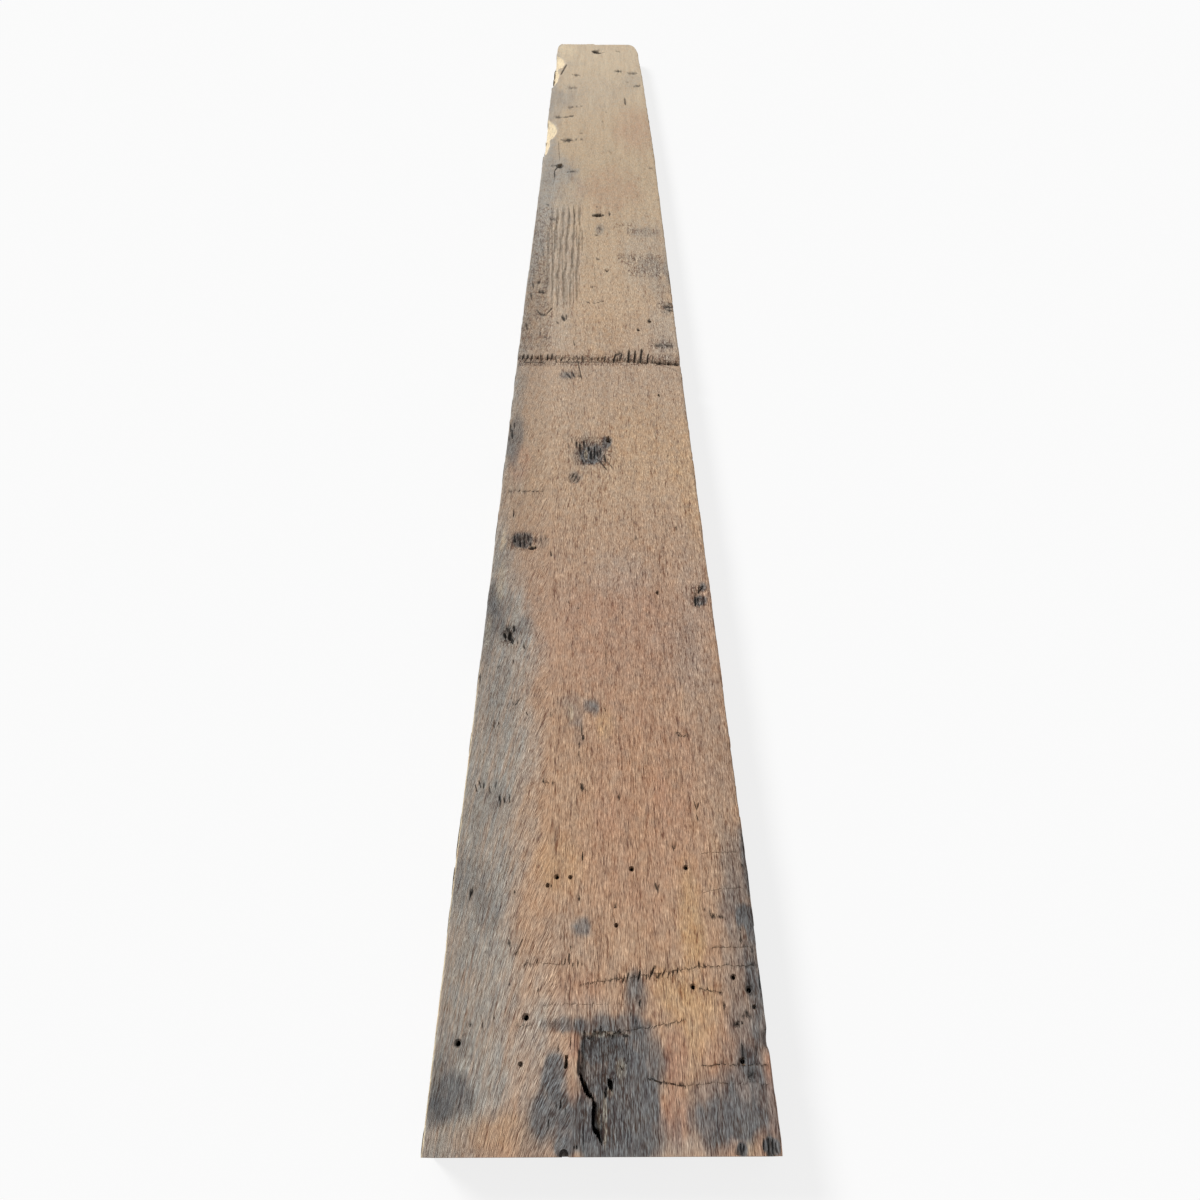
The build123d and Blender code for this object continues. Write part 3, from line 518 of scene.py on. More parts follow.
# Random waves, a row each: how far, over what distance the first and the second way, pattern
EDGE_WAVES = ((0.45, 38, 400, 4), (0.3, 11, 400, 6))
BLOT_WAVES = ((0.22, 9, 26, 3), (0.14, 3.5, 13, 5))
WARP_ACROSS = ((1.1, 5, 16, 11), (0.6, 1.8, 9, 12))
WARP_ALONG = ((3.2, 2.6, 22, 13), (1.2, 1.4, 8, 14))
BEND_ACROSS = ((0.3, 1.7, 4, 41),)
BEND_ALONG = ((0.8, 1.9, 3, 42),)
BLACK_WAVES = ((0.4, 1.3, 2.2, 43), (0.35, 6, 9, 44))
NICK_WAVES = ((1, 9, 30, 21),)
FACE_WAVES = ((0.25, 46, 210, 22), (0.12, 15, 60, 23))
BAND_WAVES = ((7, 14, 45, 31),)
SEAM_WAVES = ((3, 9, 30, 32),)
RIM_WEAR = ((0.06, 1, 1, 8),)
# Numbers that scatter a cell's place and pattern into a random height
SCATTER = (127.1, 311.7, 74.7, 43758.5453)
# Where the torn grain starts to push the surface about and over what length it comes in, in
# from the outline and along
WARP_INSET = (2.5, 6)
WARP_CALM = (4, 12)
# Nicks in the edges: the share of the waves without one, their depth, how far in they reach
NICK_START = 0.35
NICK_DEPTH = 2.2
NICK_REACH = (4.5, 3)
# The upper face lies this far down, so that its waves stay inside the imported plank
FACE_DROP = 0.3
# How strong the marks' black is before its waves
BLACK_MEAN = 1.25

# A cut mark's points: across it in half widths, the share by which they run past its ends,
# the step between them as the least length and as a share of the width, and how few and many
MARK_OFFSETS = (-1.5, -0.75, 0, 0.75, 1.5)
MARK_OVERRUN = 0.1
MARK_STEP = 0.8
MARK_STATIONS = (3, 26)
# What a mark's length and its square count for at least, so that a mere spot works too
SHORTEST_MARK = 0.01
# How far off places are looked at, in widths; how far a mark's black reaches, in half widths;
# and how much it narrows to its ends
MARK_REACH = 1.6
MARK_SMUDGE = 1.5
MARK_TAPER = 0.7

# The kinds of wall
TOP, SIDE, HOLE, FOOT = range(4)
# Round holes: their sides, half the distance that free points keep from them, the places of
# the rings in between, the flare of their rims and how many lobes its wear has
HOLE_SIDES = 18
RING_STEP = 0.7
RING_STEPS = (0.35, 0.8, 1.4)
HOLE_FLARE = 0.3
RIM_LOBES = 3
# Their walls, a row each: share of the height, share of the radius; and how deep the tack
# holes go, with the tip below that
HOLE_LEVELS = ((0.965, 0.66), (0.92, 0.66), (0.85, 1.0), (0.0, 1.0))
TACK_LEVELS = ((0.5, 0.9), (0.0, 0.7))
TACK_DEPTH = 2.6
TACK_TIP = 1.5
# The long sides' rows as shares of the height, and the lower arris as shares in and up
SIDE_LEVELS = (0.93, 0.75, 0.5, 0.25, 0.0)
LOWER_ARRIS = 1.2
LOWER_ARRIS_ROWS = ((0.35, 0.3), (1.0, 0.0))
# The underside's free points: margin and step each way, and how far they keep from holes
FOOT_MARGIN = (12, 20)
FOOT_STEP = (55, 60)
FOOT_CLEARANCE = 6
# A dark plug in the cut-open hole, painted shade that hides the floor below its mouth: its top
# and foot, how far it grips into the wood, how far in it starts, and where along and how near
# the sides that hole's arc is looked for
PLUG_LEVELS = (THICKNESS - 5.5, THICKNESS - 12)
PLUG_GRIP = 0.04
PLUG_START = 0.3
PLUG_SEARCH = (0.05, 8)
PLUG_MARGIN = 10

# The map for baking: what a mm takes up on the upper face, the ends and in the holes, and on
# the sides and the underside; the strips of the upper face with their start, pitch and
# overlap; where the other walls lie; and how squarely a side wall has to face along to be an end
FACE_SCALE = 0.00108
SIDE_SCALE = 0.00039
STRIPS = 3
STRIP_START = (0.012, 0.004)
STRIP_PITCH = 0.268
STRIP_LEAD = 12
MAP_EDGE = 0.01
SIDE_ROW = 0.81
SIDE_PITCH = 0.025
FOOT_ROW = 0.87
END_COLUMN = 0.945
END_PITCH = 0.29
HOLE_ROW = 0.6
HOLE_SPREAD = 0.0006
HOLE_TURN = 0.0012
HOLE_FOLD = 40
END_FACING = 0.7

# The grain's scales, and the smaller patterns: cells across, cells along, detail
GRAIN_SCALES = ((0.5, 3.8, 1), (0.95, 10, 2), (2.3, 26, 2), (6, 66, 2), (15, 270, 2))
FUZZ = (6, 9, 3)
BLOTCH = (13, 22, 3)
CURLS = (5.2, 12, 1)
SAW_MARKS = (40, 3.2, 2)
PORES = (0.95, 9, 1)
# How far the fibres wander and quiver aside, and in cells of which size
WANDER = (1.0, 6, 20, 1)
QUIVER = (0.35, 2.2, 5, 0)
# Light crests between the dark lines of the medium grain: mean, steepness
CRESTS = (0.45, 2.25)
# How unevenly a stain lies: base, by the broad grain where it is straight and how much less
# where it leans, by fuzz, by blotches
UNEVEN = (1, 0.25, 0.45, 0.35, 0.9)
IRON_UNEVEN = (1.1, 0.2, 0.3, 0.25, 0.4)
IRON_MOST = 0.96
GREY_EVEN = 0.6
GREY_STREAKS = 0.9
# Where chips have bared fresh wood, each as start and end of a soft step: down from the face,
# to the left, along, facing up
CHIP_STEPS = ((1.0, 3.5), (70.0, 80.0), (1648.0, 1660.0), (0.25, 0.45))
# Where the left arris, which faces the lamp, is painted pale as worn wood and painted
# highlight: to the left, along, facing left, facing up
ARRIS_STEPS = ((117.5, 119.5), (420.0, 300.0), (0.2, 0.5), (0.1, 0.3))
FRESH_CHIP = 0.85
FRESH_GRAIN = 0.6
ARRIS_WEAR_AND_HIGHLIGHT = 0.6
# Growth rings on the sawn ends: the wave's size and settings, how far below the plank the
# pith lay, how much they shade, and how far the end grain's colour covers
RING_UNIT = 100
RING_WAVE = {"Scale": 5.2, "Distortion": 2.2, "Detail": 2.0, "Detail Scale": 1.4}
RING_CENTRE_DROP = 70
RING_SHADE = 0.35
END_COVER = 0.85
# How squarely a wall has to face the side or the end, and the underside down
WALL_FACING = (0.75, 0.9)
FOOT_FACING = (0.5, 0.9)
# How bold the streaks are: plain wood, and more with iron, grey and tears
BOLD = 0.55
BOLDER = (0.4, 0.1, 0.4)
# From where the streaks are faint to where they are full, and how much of the lines and
# pores is left where they are faint
NEAR_STEP = (2100.0, 500.0)
FAR_LINES = 0.35
FAR_PORES = 0.25
# How much the fine, middle and medium grain, crests, sparks and threads add to the lines
LINE_WEIGHTS = (1.8, 1.4, 0.6, 0.5, 0.5, -0.6)
# Dark threads and light sparks: what the next scale of grain adds, and their soft steps
THREAD_MEDIUM = 0.5
THREAD_STEP = (-0.2, -0.6)
SPARK_FINE = 0.6
SPARK_STEP = (0.2, 0.6)
# Broad streaks, with how much less they are where the grain leans; coarse ones; the soft
# steps of pores and curls with how much they shade; and the limits of the whole
BROAD_STREAKS = (0.3, 0.04)
COARSE_STREAKS = 0.25
PORE_STEP = (0.2, 0.55)
PORE_SHADE = 0.16
CURL_STEP = (0.11, 0.03)
CURL_SHADE = 0.8
SHADE_RANGE = (-0.72, 1.1)
# The eroded ridges: sways as reach, cells along and across, seed's step, detail; how even
# and uneven they are; cells along; where a valley lies in their wave, with the grain's part;
# how dark its painted shade is, with the fuzz's part; how much lighter the ridges are painted;
# and how dark the dark mark is painted, which is dirt and painted shade in cuts and holes
RIDGE_SWAYS = ((4, 160, 60, 0, 2), (2.6, 34, 24, 3, 1))
RIDGE_EVEN = 0.55
RIDGE_UNEVEN = 0.9
RIDGE_RUN = 70
VALLEY_STEP = (0.3, -0.7)
VALLEY_GRAIN = 0.3
VALLEY_DARK = (0.36, 0.5)
RIDGE_LIGHT = 0.08
DARKEST = 0.88
# How the shade and the fuzz tint red, green and blue
TINTS = ((0.85, 0.12), (1, 0), (1.04, -0.12))
# The bump's height in mm: middle grain and crests, broad grain, pores, torn fibres by fine and
# middle grain, saw marks, rings
GRAIN_RELIEF = (0.5, 0.25)
BROAD_RELIEF = 0.3
PORE_RELIEF = 0.15
TORN_RELIEF = (0.4, 0.6)
SAW_RELIEF = 0.15
RING_RELIEF = 0.3
# Roughness: plain wood, by the fine grain, by iron; and the specular level
ROUGHNESS = (0.82, 0.05, 0.06)
SPECULAR = 0.25
# Furrows in the mesh: cells across and along and the seed's step, for torn wood and for the
# roughness of the whole face, and the depth of that
SHRED = (2.4, 11, 5)
COARSE = (5, 30, 9)
COARSE_DEPTH = 0.18

# The camera's place over the near end and its turn in degrees, the width of its sensor and
# the nearest that it sees
EYE_X = -1.18
EYE_ALONG = -2.4
EYE_TURN = -0.19
SENSOR = 36
NEAREST_SEEN = 0.01
# The lamp's direction, and how wide it looks, in degrees
LAMP_FROM = (-0.6, 0.45, 0.65)
LAMP_WIDTH = 18
# The floor: half its side in metres, its colour, and how much of it shows as plain white
FLOOR_REACH = 30.0
FLOOR_COLOUR = (0.8, 0.8, 0.8, 1)
FLOOR_WHITE = 0.8
WHITE = (1, 1, 1, 1)
# The angle in degrees from which an edge is sharp
SHARP_ANGLE = 50


def smooth(share):
    """An even rise from 0 to 1."""
    share = np.clip(share, 0, 1)
    return share * share * (3 - 2 * share)


def window(value, start, rise, stop, fall):
    """1 between two places, rising after the first and falling before the second."""
    return smooth((value - start) / rise) * smooth((stop - value) / fall)


def ripple(x, y, seed):
    """Smooth random waves over unit cells, from -1 to 1."""
    cell_x, cell_y = np.floor(x), np.floor(y)
    right, up = smooth(x - cell_x), smooth(y - cell_y)
    by_x, by_y, by_seed, spread = SCATTER

    def corner(dx, dy):
        wave = np.sin((cell_x + dx) * by_x + (cell_y + dy) * by_y + seed * by_seed) * spread
        return (wave - np.floor(wave)) * 2 - 1

    low = corner(0, 0) * (1 - right) + corner(1, 0) * right
    high = corner(0, 1) * (1 - right) + corner(1, 1) * right
    return low * (1 - up) + high * up


def waves(x, y, rows):
    """The sum of some random waves."""
    return sum(reach * ripple(x / wide, y / long, seed) for reach, wide, long, seed in rows)


def level_loops(solid, level):
    """The closed loops where a level plane cuts the solid, as arrays of x and y."""
    cut = solid.copy()
    made = bmesh.ops.bisect_plane(
        cut,
        geom=[*cut.verts, *cut.edges, *cut.faces],
        plane_co=(0, 0, level * MM),
        plane_no=(0, 0, 1),
    )
    joined = {}
    for edge in made["geom_cut"]:
        if isinstance(edge, bmesh.types.BMEdge):
            first, second = edge.verts
            joined.setdefault(first, []).append(second)
            joined.setdefault(second, []).append(first)
    loops = []
    while joined:
        here = next(iter(joined))
        loop = []
        while here is not None:
            loop.append(here.co.xy / MM)
            onward = joined.pop(here)
            here = next((vertex for vertex in onward if vertex in joined), None)
        loops.append(np.array(loop))
    cut.free()
    return loops


def swept_area(loop):
    """A loop's area, positive where it runs anticlockwise."""
    x, y = loop.T
    return (x * np.roll(y, -1) - np.roll(x, -1) * y).sum() / 2


def uncrowded(loop):
    """A loop without the points that lie very close to the last one kept."""
    kept = [loop[0]]
    for point in loop[1:]:
        if np.hypot(*(point - kept[-1])) > OUTLINE_CLOSEST:
            kept.append(point)
    return np.array(kept)


def outline_step(y):
    """How far apart the outline's points are."""
    return next(step for stop, step in OUTLINE_STEPS if y - NEAR_Y < stop)


def spaced(loop, step_at):
    """A closed loop with its corners kept and its long runs divided."""
    points = []
    for start, end in zip(loop, np.roll(loop, -1, axis=0)):
        run = np.hypot(*(end - start))
        pieces = max(1, math.ceil(run / step_at(start[1])))
        points.extend(start + (end - start) * k / pieces for k in range(pieces))
    return np.array(points)


def inward_normals(loop):
    """The unit normals of an anticlockwise loop's points, pointing in."""
    run = np.roll(loop, -1, axis=0) - np.roll(loop, 1, axis=0)
    normals = np.column_stack((-run[:, 1], run[:, 0]))
    return normals / np.hypot(*normals.T)[:, None]


class Stock:
    """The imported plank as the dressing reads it: its outline, round holes and heights."""

    def __init__(self, node):
        solid = bmesh.new()
        solid.from_mesh(node.data)
        bmesh.ops.remove_doubles(solid, verts=solid.verts, dist=TINY)
        self.tree = BVHTree.FromBMesh(solid)
        bored = level_loops(solid, BORE_LEVEL)
        bored.sort(key=lambda loop: abs(swept_area(loop)))
        outline = bored.pop()
        self.bores = self.round_holes(bored)
        tacks = [
            hole
            for hole in self.round_holes(level_loops(solid, TACK_LEVEL))
            if all(math.hypot(hole[0] - x, hole[1] - y) > r for x, y, r in self.bores)
        ]
        self.holes = self.bores + tacks
        solid.free()
        if swept_area(outline) < 0:
            outline = outline[::-1]
        self.outline = self.worn(spaced(uncrowded(outline), outline_step))
        self.rim = spaced(self.outline, lambda y: RIM_STEP)
        self.rim_normals = inward_normals(self.rim)
        self.rim_tree = KDTree(len(self.rim))
        for index, (x, y) in enumerate(self.rim):
            self.rim_tree.insert((x, y, 0), index)
        self.rim_tree.balance()

    @staticmethod
    def round_holes(loops):
        """The round ones among loops, as x, y and radius."""
        holes = []
        for loop in loops:
            centre = (loop.min(axis=0) + loop.max(axis=0)) / 2
            radii = np.hypot(*(loop - centre).T)
            if radii.max() < min(LARGEST_HOLE, radii.min() * ROUND_TO):
                holes.append((*centre, radii.mean()))
        return holes

    @staticmethod
    def worn(outline):
        """The outline with the long edges waved as worn edges are."""
        x, y = outline.T
        ends = window(y, NEAR_Y, END_CALM, NEAR_Y + LENGTH, END_CALM)
        return outline + inward_normals(outline) * (waves(y, x, EDGE_WAVES) * ends)[:, None]

    def inset(self, x, y):
        """How far inside the outline each place is, across the nearest edge."""
        found = np.array([self.rim_tree.find((a, b, 0))[1] for a, b in zip(x, y)])
        away = np.column_stack((x, y)) - self.rim[found]
        return (away * self.rim_normals[found]).sum(axis=1)

    def depth(self, x, y):
        """How far the solid's surface lies below the upper face at each place."""
        x, y = x.copy(), y.copy()
        for hole_x, hole_y, radius in self.holes:
            away = np.hypot(x - hole_x, y - hole_y)
            inside = away < radius + HOLE_CLEARANCE
            scale = (radius + HOLE_CLEARANCE) / np.maximum(away[inside], TINY)
            x[inside] = hole_x + (x[inside] - hole_x) * scale
            y[inside] = hole_y + (y[inside] - hole_y) * scale
        depths = np.empty(len(x))
        for index, (a, b) in enumerate(zip(x * MM, y * MM)):
            hit = self.tree.ray_cast(Vector((a, b, 1)), DOWN)[0]
            if hit is None:
                hit = self.tree.find_nearest(Vector((a, b, HIGH[2] * MM)))[0]
            depths[index] = HIGH[2] - hit.z / MM
        return depths


def grid(box, step_x, step_y):
    """Points over a box in staggered rows."""
    x0, x1, a0, a1 = box
    rows = np.arange(a0, a1, step_y)
    columns = np.arange(x0, x1, step_x)
    x, along = np.meshgrid(columns, rows)
    x = x + (np.arange(len(rows)) % 2)[:, None] * step_x / 2
    return np.column_stack((x.ravel(), along.ravel() + NEAR_Y))


def mark_points(marks):
    """Points in and beside each cut mark, so that the mesh has its shape."""
    found = []
    for x1, a1, x2, a2, wide, _, _ in marks:
        run = math.hypot(x2 - x1, a2 - a1)
        stations = int(np.clip(run / max(MARK_STEP, wide * MARK_STEP), *MARK_STATIONS))
        t = np.linspace(-MARK_OVERRUN, 1 + MARK_OVERRUN, stations)[:, None]
        offsets = np.array(MARK_OFFSETS) * wide / 2
        run = max(run, SHORTEST_MARK)
        across, onward = (a2 - a1) / run, (x2 - x1) / run
        x = x1 + (x2 - x1) * t + offsets * across
        along = a1 + (a2 - a1) * t - offsets * onward
        found.append(np.column_stack((x.ravel(), along.ravel() + NEAR_Y)))
    return np.concatenate(found)


def score_runs():
    """The score lines as a run of cut marks."""
    runs = []
    for places, wide, deep, black in SCORE_LINES:
        for start, end in zip(places, places[1:]):
            runs.append((*start, *end, wide, deep, black))
    return tuple(runs)


def carve(x, along, marks):
    """How deep the cut marks are at each place, and how black."""
    deep_here, black_here = np.zeros(len(x)), np.zeros(len(x))
    for x1, a1, x2, a2, wide, deep, black in marks:
        reach = MARK_REACH * wide
        near_it = np.flatnonzero(
            (x > min(x1, x2) - reach)
            & (x < max(x1, x2) + reach)
            & (along > min(a1, a2) - reach)
            & (along < max(a1, a2) + reach)
        )
        run_x, run_a = x2 - x1, a2 - a1
        from_x, from_a = x[near_it] - x1, along[near_it] - a1
        size = max(run_x**2 + run_a**2, SHORTEST_MARK)
        t = np.clip((from_x * run_x + from_a * run_a) / size, 0, 1)
        half = wide / 2 * np.sqrt(1 - MARK_TAPER * (2 * t - 1) ** 2)
        gap = np.hypot(from_x - t * run_x, from_a - t * run_a) / half
        deep_here[near_it] = np.maximum(deep_here[near_it], deep * np.clip(1 - gap**2, 0, 1))
        smudge = black * smooth(MARK_SMUDGE - gap)
        black_here[near_it] = np.maximum(black_here[near_it], smudge)
    return deep_here, black_here


def cover(rows, x, along):
    """How strongly a set of soft blots covers each place, from 0 to 1."""
    ragged = waves(x, along, BLOT_WAVES)
    clear = np.ones(len(x))
    for across, at, wide, long, strength, softness in rows:
        away = np.hypot((x - across) / wide, (along - at) / long) + ragged
        clear *= 1 - strength * smooth((1 + softness / 2 - away) / softness)
    return 1 - clear


def thinned(points, cell):
    """Points with all but the first in each cell left out."""
    keys = np.round(points / cell).astype(np.int64)
    _, first = np.unique(keys[:, 0] * CELL_STRIDE + keys[:, 1], return_index=True)
    return points[np.sort(first)]


def clear_of(points, holes, gap):
    """The points that lie further than a gap outside the holes."""
    for x, y, radius in holes:
        points = points[np.hypot(*(points - (x, y)).T) > radius + gap]
    return points


def closed_pairs(loop):
    """Each number of a closed loop with the next one."""
    return zip(loop.tolist(), np.roll(loop, -1).tolist())


def split_loops(numbers, loops):
    """The numbers of each of some loops, which come first and in order."""
    return np.split(numbers, np.cumsum([len(loop) for loop in loops]))[:-1]


class Shell:
    """A closed mesh being put together, with what kind of wall each face belongs to."""

    def __init__(self):
        self.blocks = []
        self.kinds = []
        self.faces = []
        self.walls = []
        self.count = 0

    def points(self, x, y, z, kind):
        """Add points, and give their numbers."""
        block = np.column_stack(np.broadcast_arrays(x, y, z))
        self.blocks.append(block)
        self.kinds.append(np.full(len(block), kind))
        self.count += len(block)
        return np.arange(self.count - len(block), self.count)

    def fill(self, faces, wall):
        """Add faces that belong to one wall."""
        self.faces.extend(faces)
        self.walls.extend([wall] * len(faces))

    def band(self, upper, lower, wall):
        """Close the wall between two loops, facing right of the way that they run."""
        upper_next, lower_next = np.roll(upper, -1), np.roll(lower, -1)
        self.fill(np.column_stack((lower, lower_next, upper_next, upper)).tolist(), wall)

    def row(self, upper, flat, level, wall):
        """Add a loop at a level, close the wall up to the one above, and give its numbers."""
        lower = self.points(*flat.T, level, wall)
        self.band(upper, lower, wall)
        return lower

    def mesh(self, name):
        """The finished mesh in metres."""
        mesh = bpy.data.meshes.new(name)
        mesh.from_pydata((np.concatenate(self.blocks) * MM).tolist(), [], self.faces)
        mesh.update()
        return mesh


def face_triangles(points, loops, holes, stretch):
    """Triangles over points, inside the first loop and outside the holes."""
    flat = [Vector((x, y / stretch)) for x, y in points]
    kept_edges = [pair for loop in loops for pair in closed_pairs(loop)]
    inside_only, closest = 1, 1e-7
    made = delaunay_2d_cdt(flat, kept_edges, [], inside_only, closest)
    faces, origins = made[2], made[3]
    first = np.array([origin[0] for origin in origins])
    triangles = first[np.array(faces)]
    corners = points[triangles]
    middle = corners.mean(axis=1)
    clear = np.ones(len(middle), bool)
    for x, y, radius in holes:
        clear &= np.hypot(*(middle - (x, y)).T) > radius
    triangles, corners = triangles[clear], corners[clear]
    edge_1, edge_2 = corners[:, 1] - corners[:, 0], corners[:, 2] - corners[:, 0]
    turned = edge_1[:, 0] * edge_2[:, 1] < edge_1[:, 1] * edge_2[:, 0]
    triangles[turned] = triangles[turned][:, ::-1]
    return triangles


class Tree:
    """A node tree written as Python sums."""

    def __init__(self, tree):
        self.tree = tree

    def add(self, kind, values=(), **settings):
        """Add a node: its settings first, then its sockets' values or links."""
        node = self.tree.nodes.new(kind)
        for name, setting in settings.items():
            setattr(node, name, setting)
        pairs = values.items() if isinstance(values, dict) else enumerate(values)
        for key, value in pairs:
            if isinstance(value, Socket):
                self.tree.links.new(value.socket, node.inputs[key])
            else:
                node.inputs[key].default_value = value
        return node

    def out(self, kind, values=(), output=0, **settings):
        """One output of a new node."""
        return Socket(self, self.add(kind, values, **settings).outputs[output])

    def ramp(self, factor, stops):
        """A colour that runs through stops at places from 0 to 1."""
        node = self.add("ShaderNodeValToRGB", [factor])
        band = node.color_ramp
        while len(band.elements) < len(stops):
            band.elements.new(1)
        for element, (place, colour) in zip(band.elements, stops):
            element.position = place
            element.color = (*colour, 1)
        return Socket(self, node.outputs[0])

    def blend(self, first, colour, factor):
        """A colour laid over another one."""
        values = {0: factor, 6: first, 7: (*colour, 1)}
        return self.out("ShaderNodeMix", values, 2, data_type="RGBA")

    def vector(self, x, y, z):
        """A vector from its three parts."""
        return self.out("ShaderNodeCombineXYZ", [x, y, z])

    def parts(self, kind, output=0):
        """The three parts of a vector that a new node gives."""
        node = self.add("ShaderNodeSeparateXYZ", [self.out(kind, output=output)])
        return [Socket(self, part) for part in node.outputs]

    def noise(self, place, detail):
        """Soft random waves about 0, in cells of one unit."""
        values = {"Vector": place, "Scale": 1.0, "Detail": detail, "Roughness": 0.5}
        return self.out("ShaderNodeTexNoise", values, "Fac") * 2 - 1

    def cells(self, place, wide, long, detail):
        """Soft random waves about 0, in cells of a width and a length along the stock."""
        across, along, height = place
        return self.noise(self.vector(across / wide, along / long, height / wide), detail)

    def rise(self, value, start, end):
        """A soft step from 0 at the start to 1 at the end."""
        values = [value, start, end, 0.0, 1.0]
        return self.out("ShaderNodeMapRange", values, interpolation_type="SMOOTHSTEP")

    def rises(self, values, steps):
        """The product of soft steps, one for each value."""
        found = [self.rise(value, *step) for value, step in zip(values, steps)]
        return reduce(lambda first, second: first * second, found)

    def read(self, name):
        """A number stored on the mesh's points."""
        return self.out("ShaderNodeAttribute", output="Fac", attribute_name=name)

    def seen(self):
        """1 for what the camera, a mirror image or clear material shows, and 0 for light."""
        node = self.add("ShaderNodeLightPath")
        names = ("Is Camera Ray", "Is Glossy Ray", "Is Transmission Ray")
        return reduce(Socket.most, (Socket(self, node.outputs[name]) for name in names))


class Socket:
    """A node's output, on which sums add Math nodes."""

    def __init__(self, tree, socket):
        self.tree = tree
        self.socket = socket

    def maths(self, operation, *values):
        """A Math node's result."""
        return self.tree.out("ShaderNodeMath", values or [self], operation=operation)

    def __add__(self, other):
        return self.maths("ADD", self, other)

    def __sub__(self, other):
        return self.maths("SUBTRACT", self, other)

    def __rsub__(self, other):
        return self.maths("SUBTRACT", other, self)

    def __mul__(self, other):
        return self.maths("MULTIPLY", self, other)

    def __truediv__(self, other):
        return self.maths("DIVIDE", self, other)

    def __neg__(self):
        return self * -1

    def __abs__(self):
        return self.maths("ABSOLUTE", self)

    def most(self, other):
        """The larger of two values."""
        return self.maths("MAXIMUM", self, other)

    def least(self, other):
        """The smaller of two values."""
        return self.maths("MINIMUM", self, other)

    __radd__ = __add__
    __rmul__ = __mul__


def weighed(weights, *values):
    """The sum of values, each times its weight."""
    return reduce(add, (value * weight for value, weight in zip(values, weights)))


def grain(tree, place, lean):
    """The wood's fibres from fine to broad, straight or bent round the flame figure, about 0."""
    across, along, height = place
    for reach, *cell in (WANDER, QUIVER):
        across = across + tree.cells(place, *cell) * reach
    aside = (FLAME_X - across).most(0.0)
    flame = along + aside * (FLAME_STEEP + aside * aside * (FLAME_BEND / 3))
    root = math.sqrt(FLAME_STEEP * FLAME_BEND)
    onward = along - (aside * (FLAME_BEND / root)).maths("ARCTANGENT") / root
    straight, bent = (across, along, height), (flame / FLAME_CLOSE, onward, height)
    found = []
    for cell in GRAIN_SCALES:
        first, second = tree.cells(straight, *cell), tree.cells(bent, *cell)
        found.append(first + (second - first) * lean)
    return found


def ridge_wave(tree, across, along, pitch, seed):
    """The wave of the eroded ridges across the stock, which sways as it runs along."""
    swayed = across
    for reach, long, wide, step, detail in RIDGE_SWAYS:
        drift = tree.vector(along / long, across / wide, seed + step)
        swayed = swayed + tree.noise(drift, detail) * reach
    even = (swayed * math.tau / pitch).maths("SINE")
    uneven = tree.noise(tree.vector(across / pitch, along / RIDGE_RUN, seed), 1)
    return even * RIDGE_EVEN + uneven * RIDGE_UNEVEN


def stain_covers(tree, marks, grains, lean, fuzz, blotch):
    """How far each stain covers the wood, with edges that follow the grain."""
    broad = grains[3]

    def edge(base, straight, leaning, by_fuzz, by_blotch):
        streaks = broad * (straight - lean * leaning)
        return base + streaks + fuzz * by_fuzz + blotch * by_blotch

    uneven = edge(*UNEVEN)
    covers = {name: (marks[name] * uneven).least(1.0) for name in ("gold", "red", "pale")}
    covers["iron"] = (marks["iron"] * edge(*IRON_UNEVEN)).least(IRON_MOST)
    greyed = GREY_EVEN + uneven * (1 - GREY_EVEN) - broad * lean * GREY_STREAKS
    covers["grey"] = (marks["grey"] * greyed).least(1.0)
    return covers


def fresh_wood_and_lit_arris(tree, place, facing, medium):
    """How far chips bared fresh wood and the left arris shows worn wood and painted highlight."""
    across, along, height = place
    face_x, _, face_z = facing
    chipped = tree.rises((THICKNESS - height, -across, along, face_z), CHIP_STEPS)
    arris = tree.rises((-across, along, -face_x, face_z), ARRIS_STEPS)
    return (chipped * FRESH_CHIP * (1 + medium * FRESH_GRAIN)).most(arris * ARRIS_WEAR_AND_HIGHLIGHT)


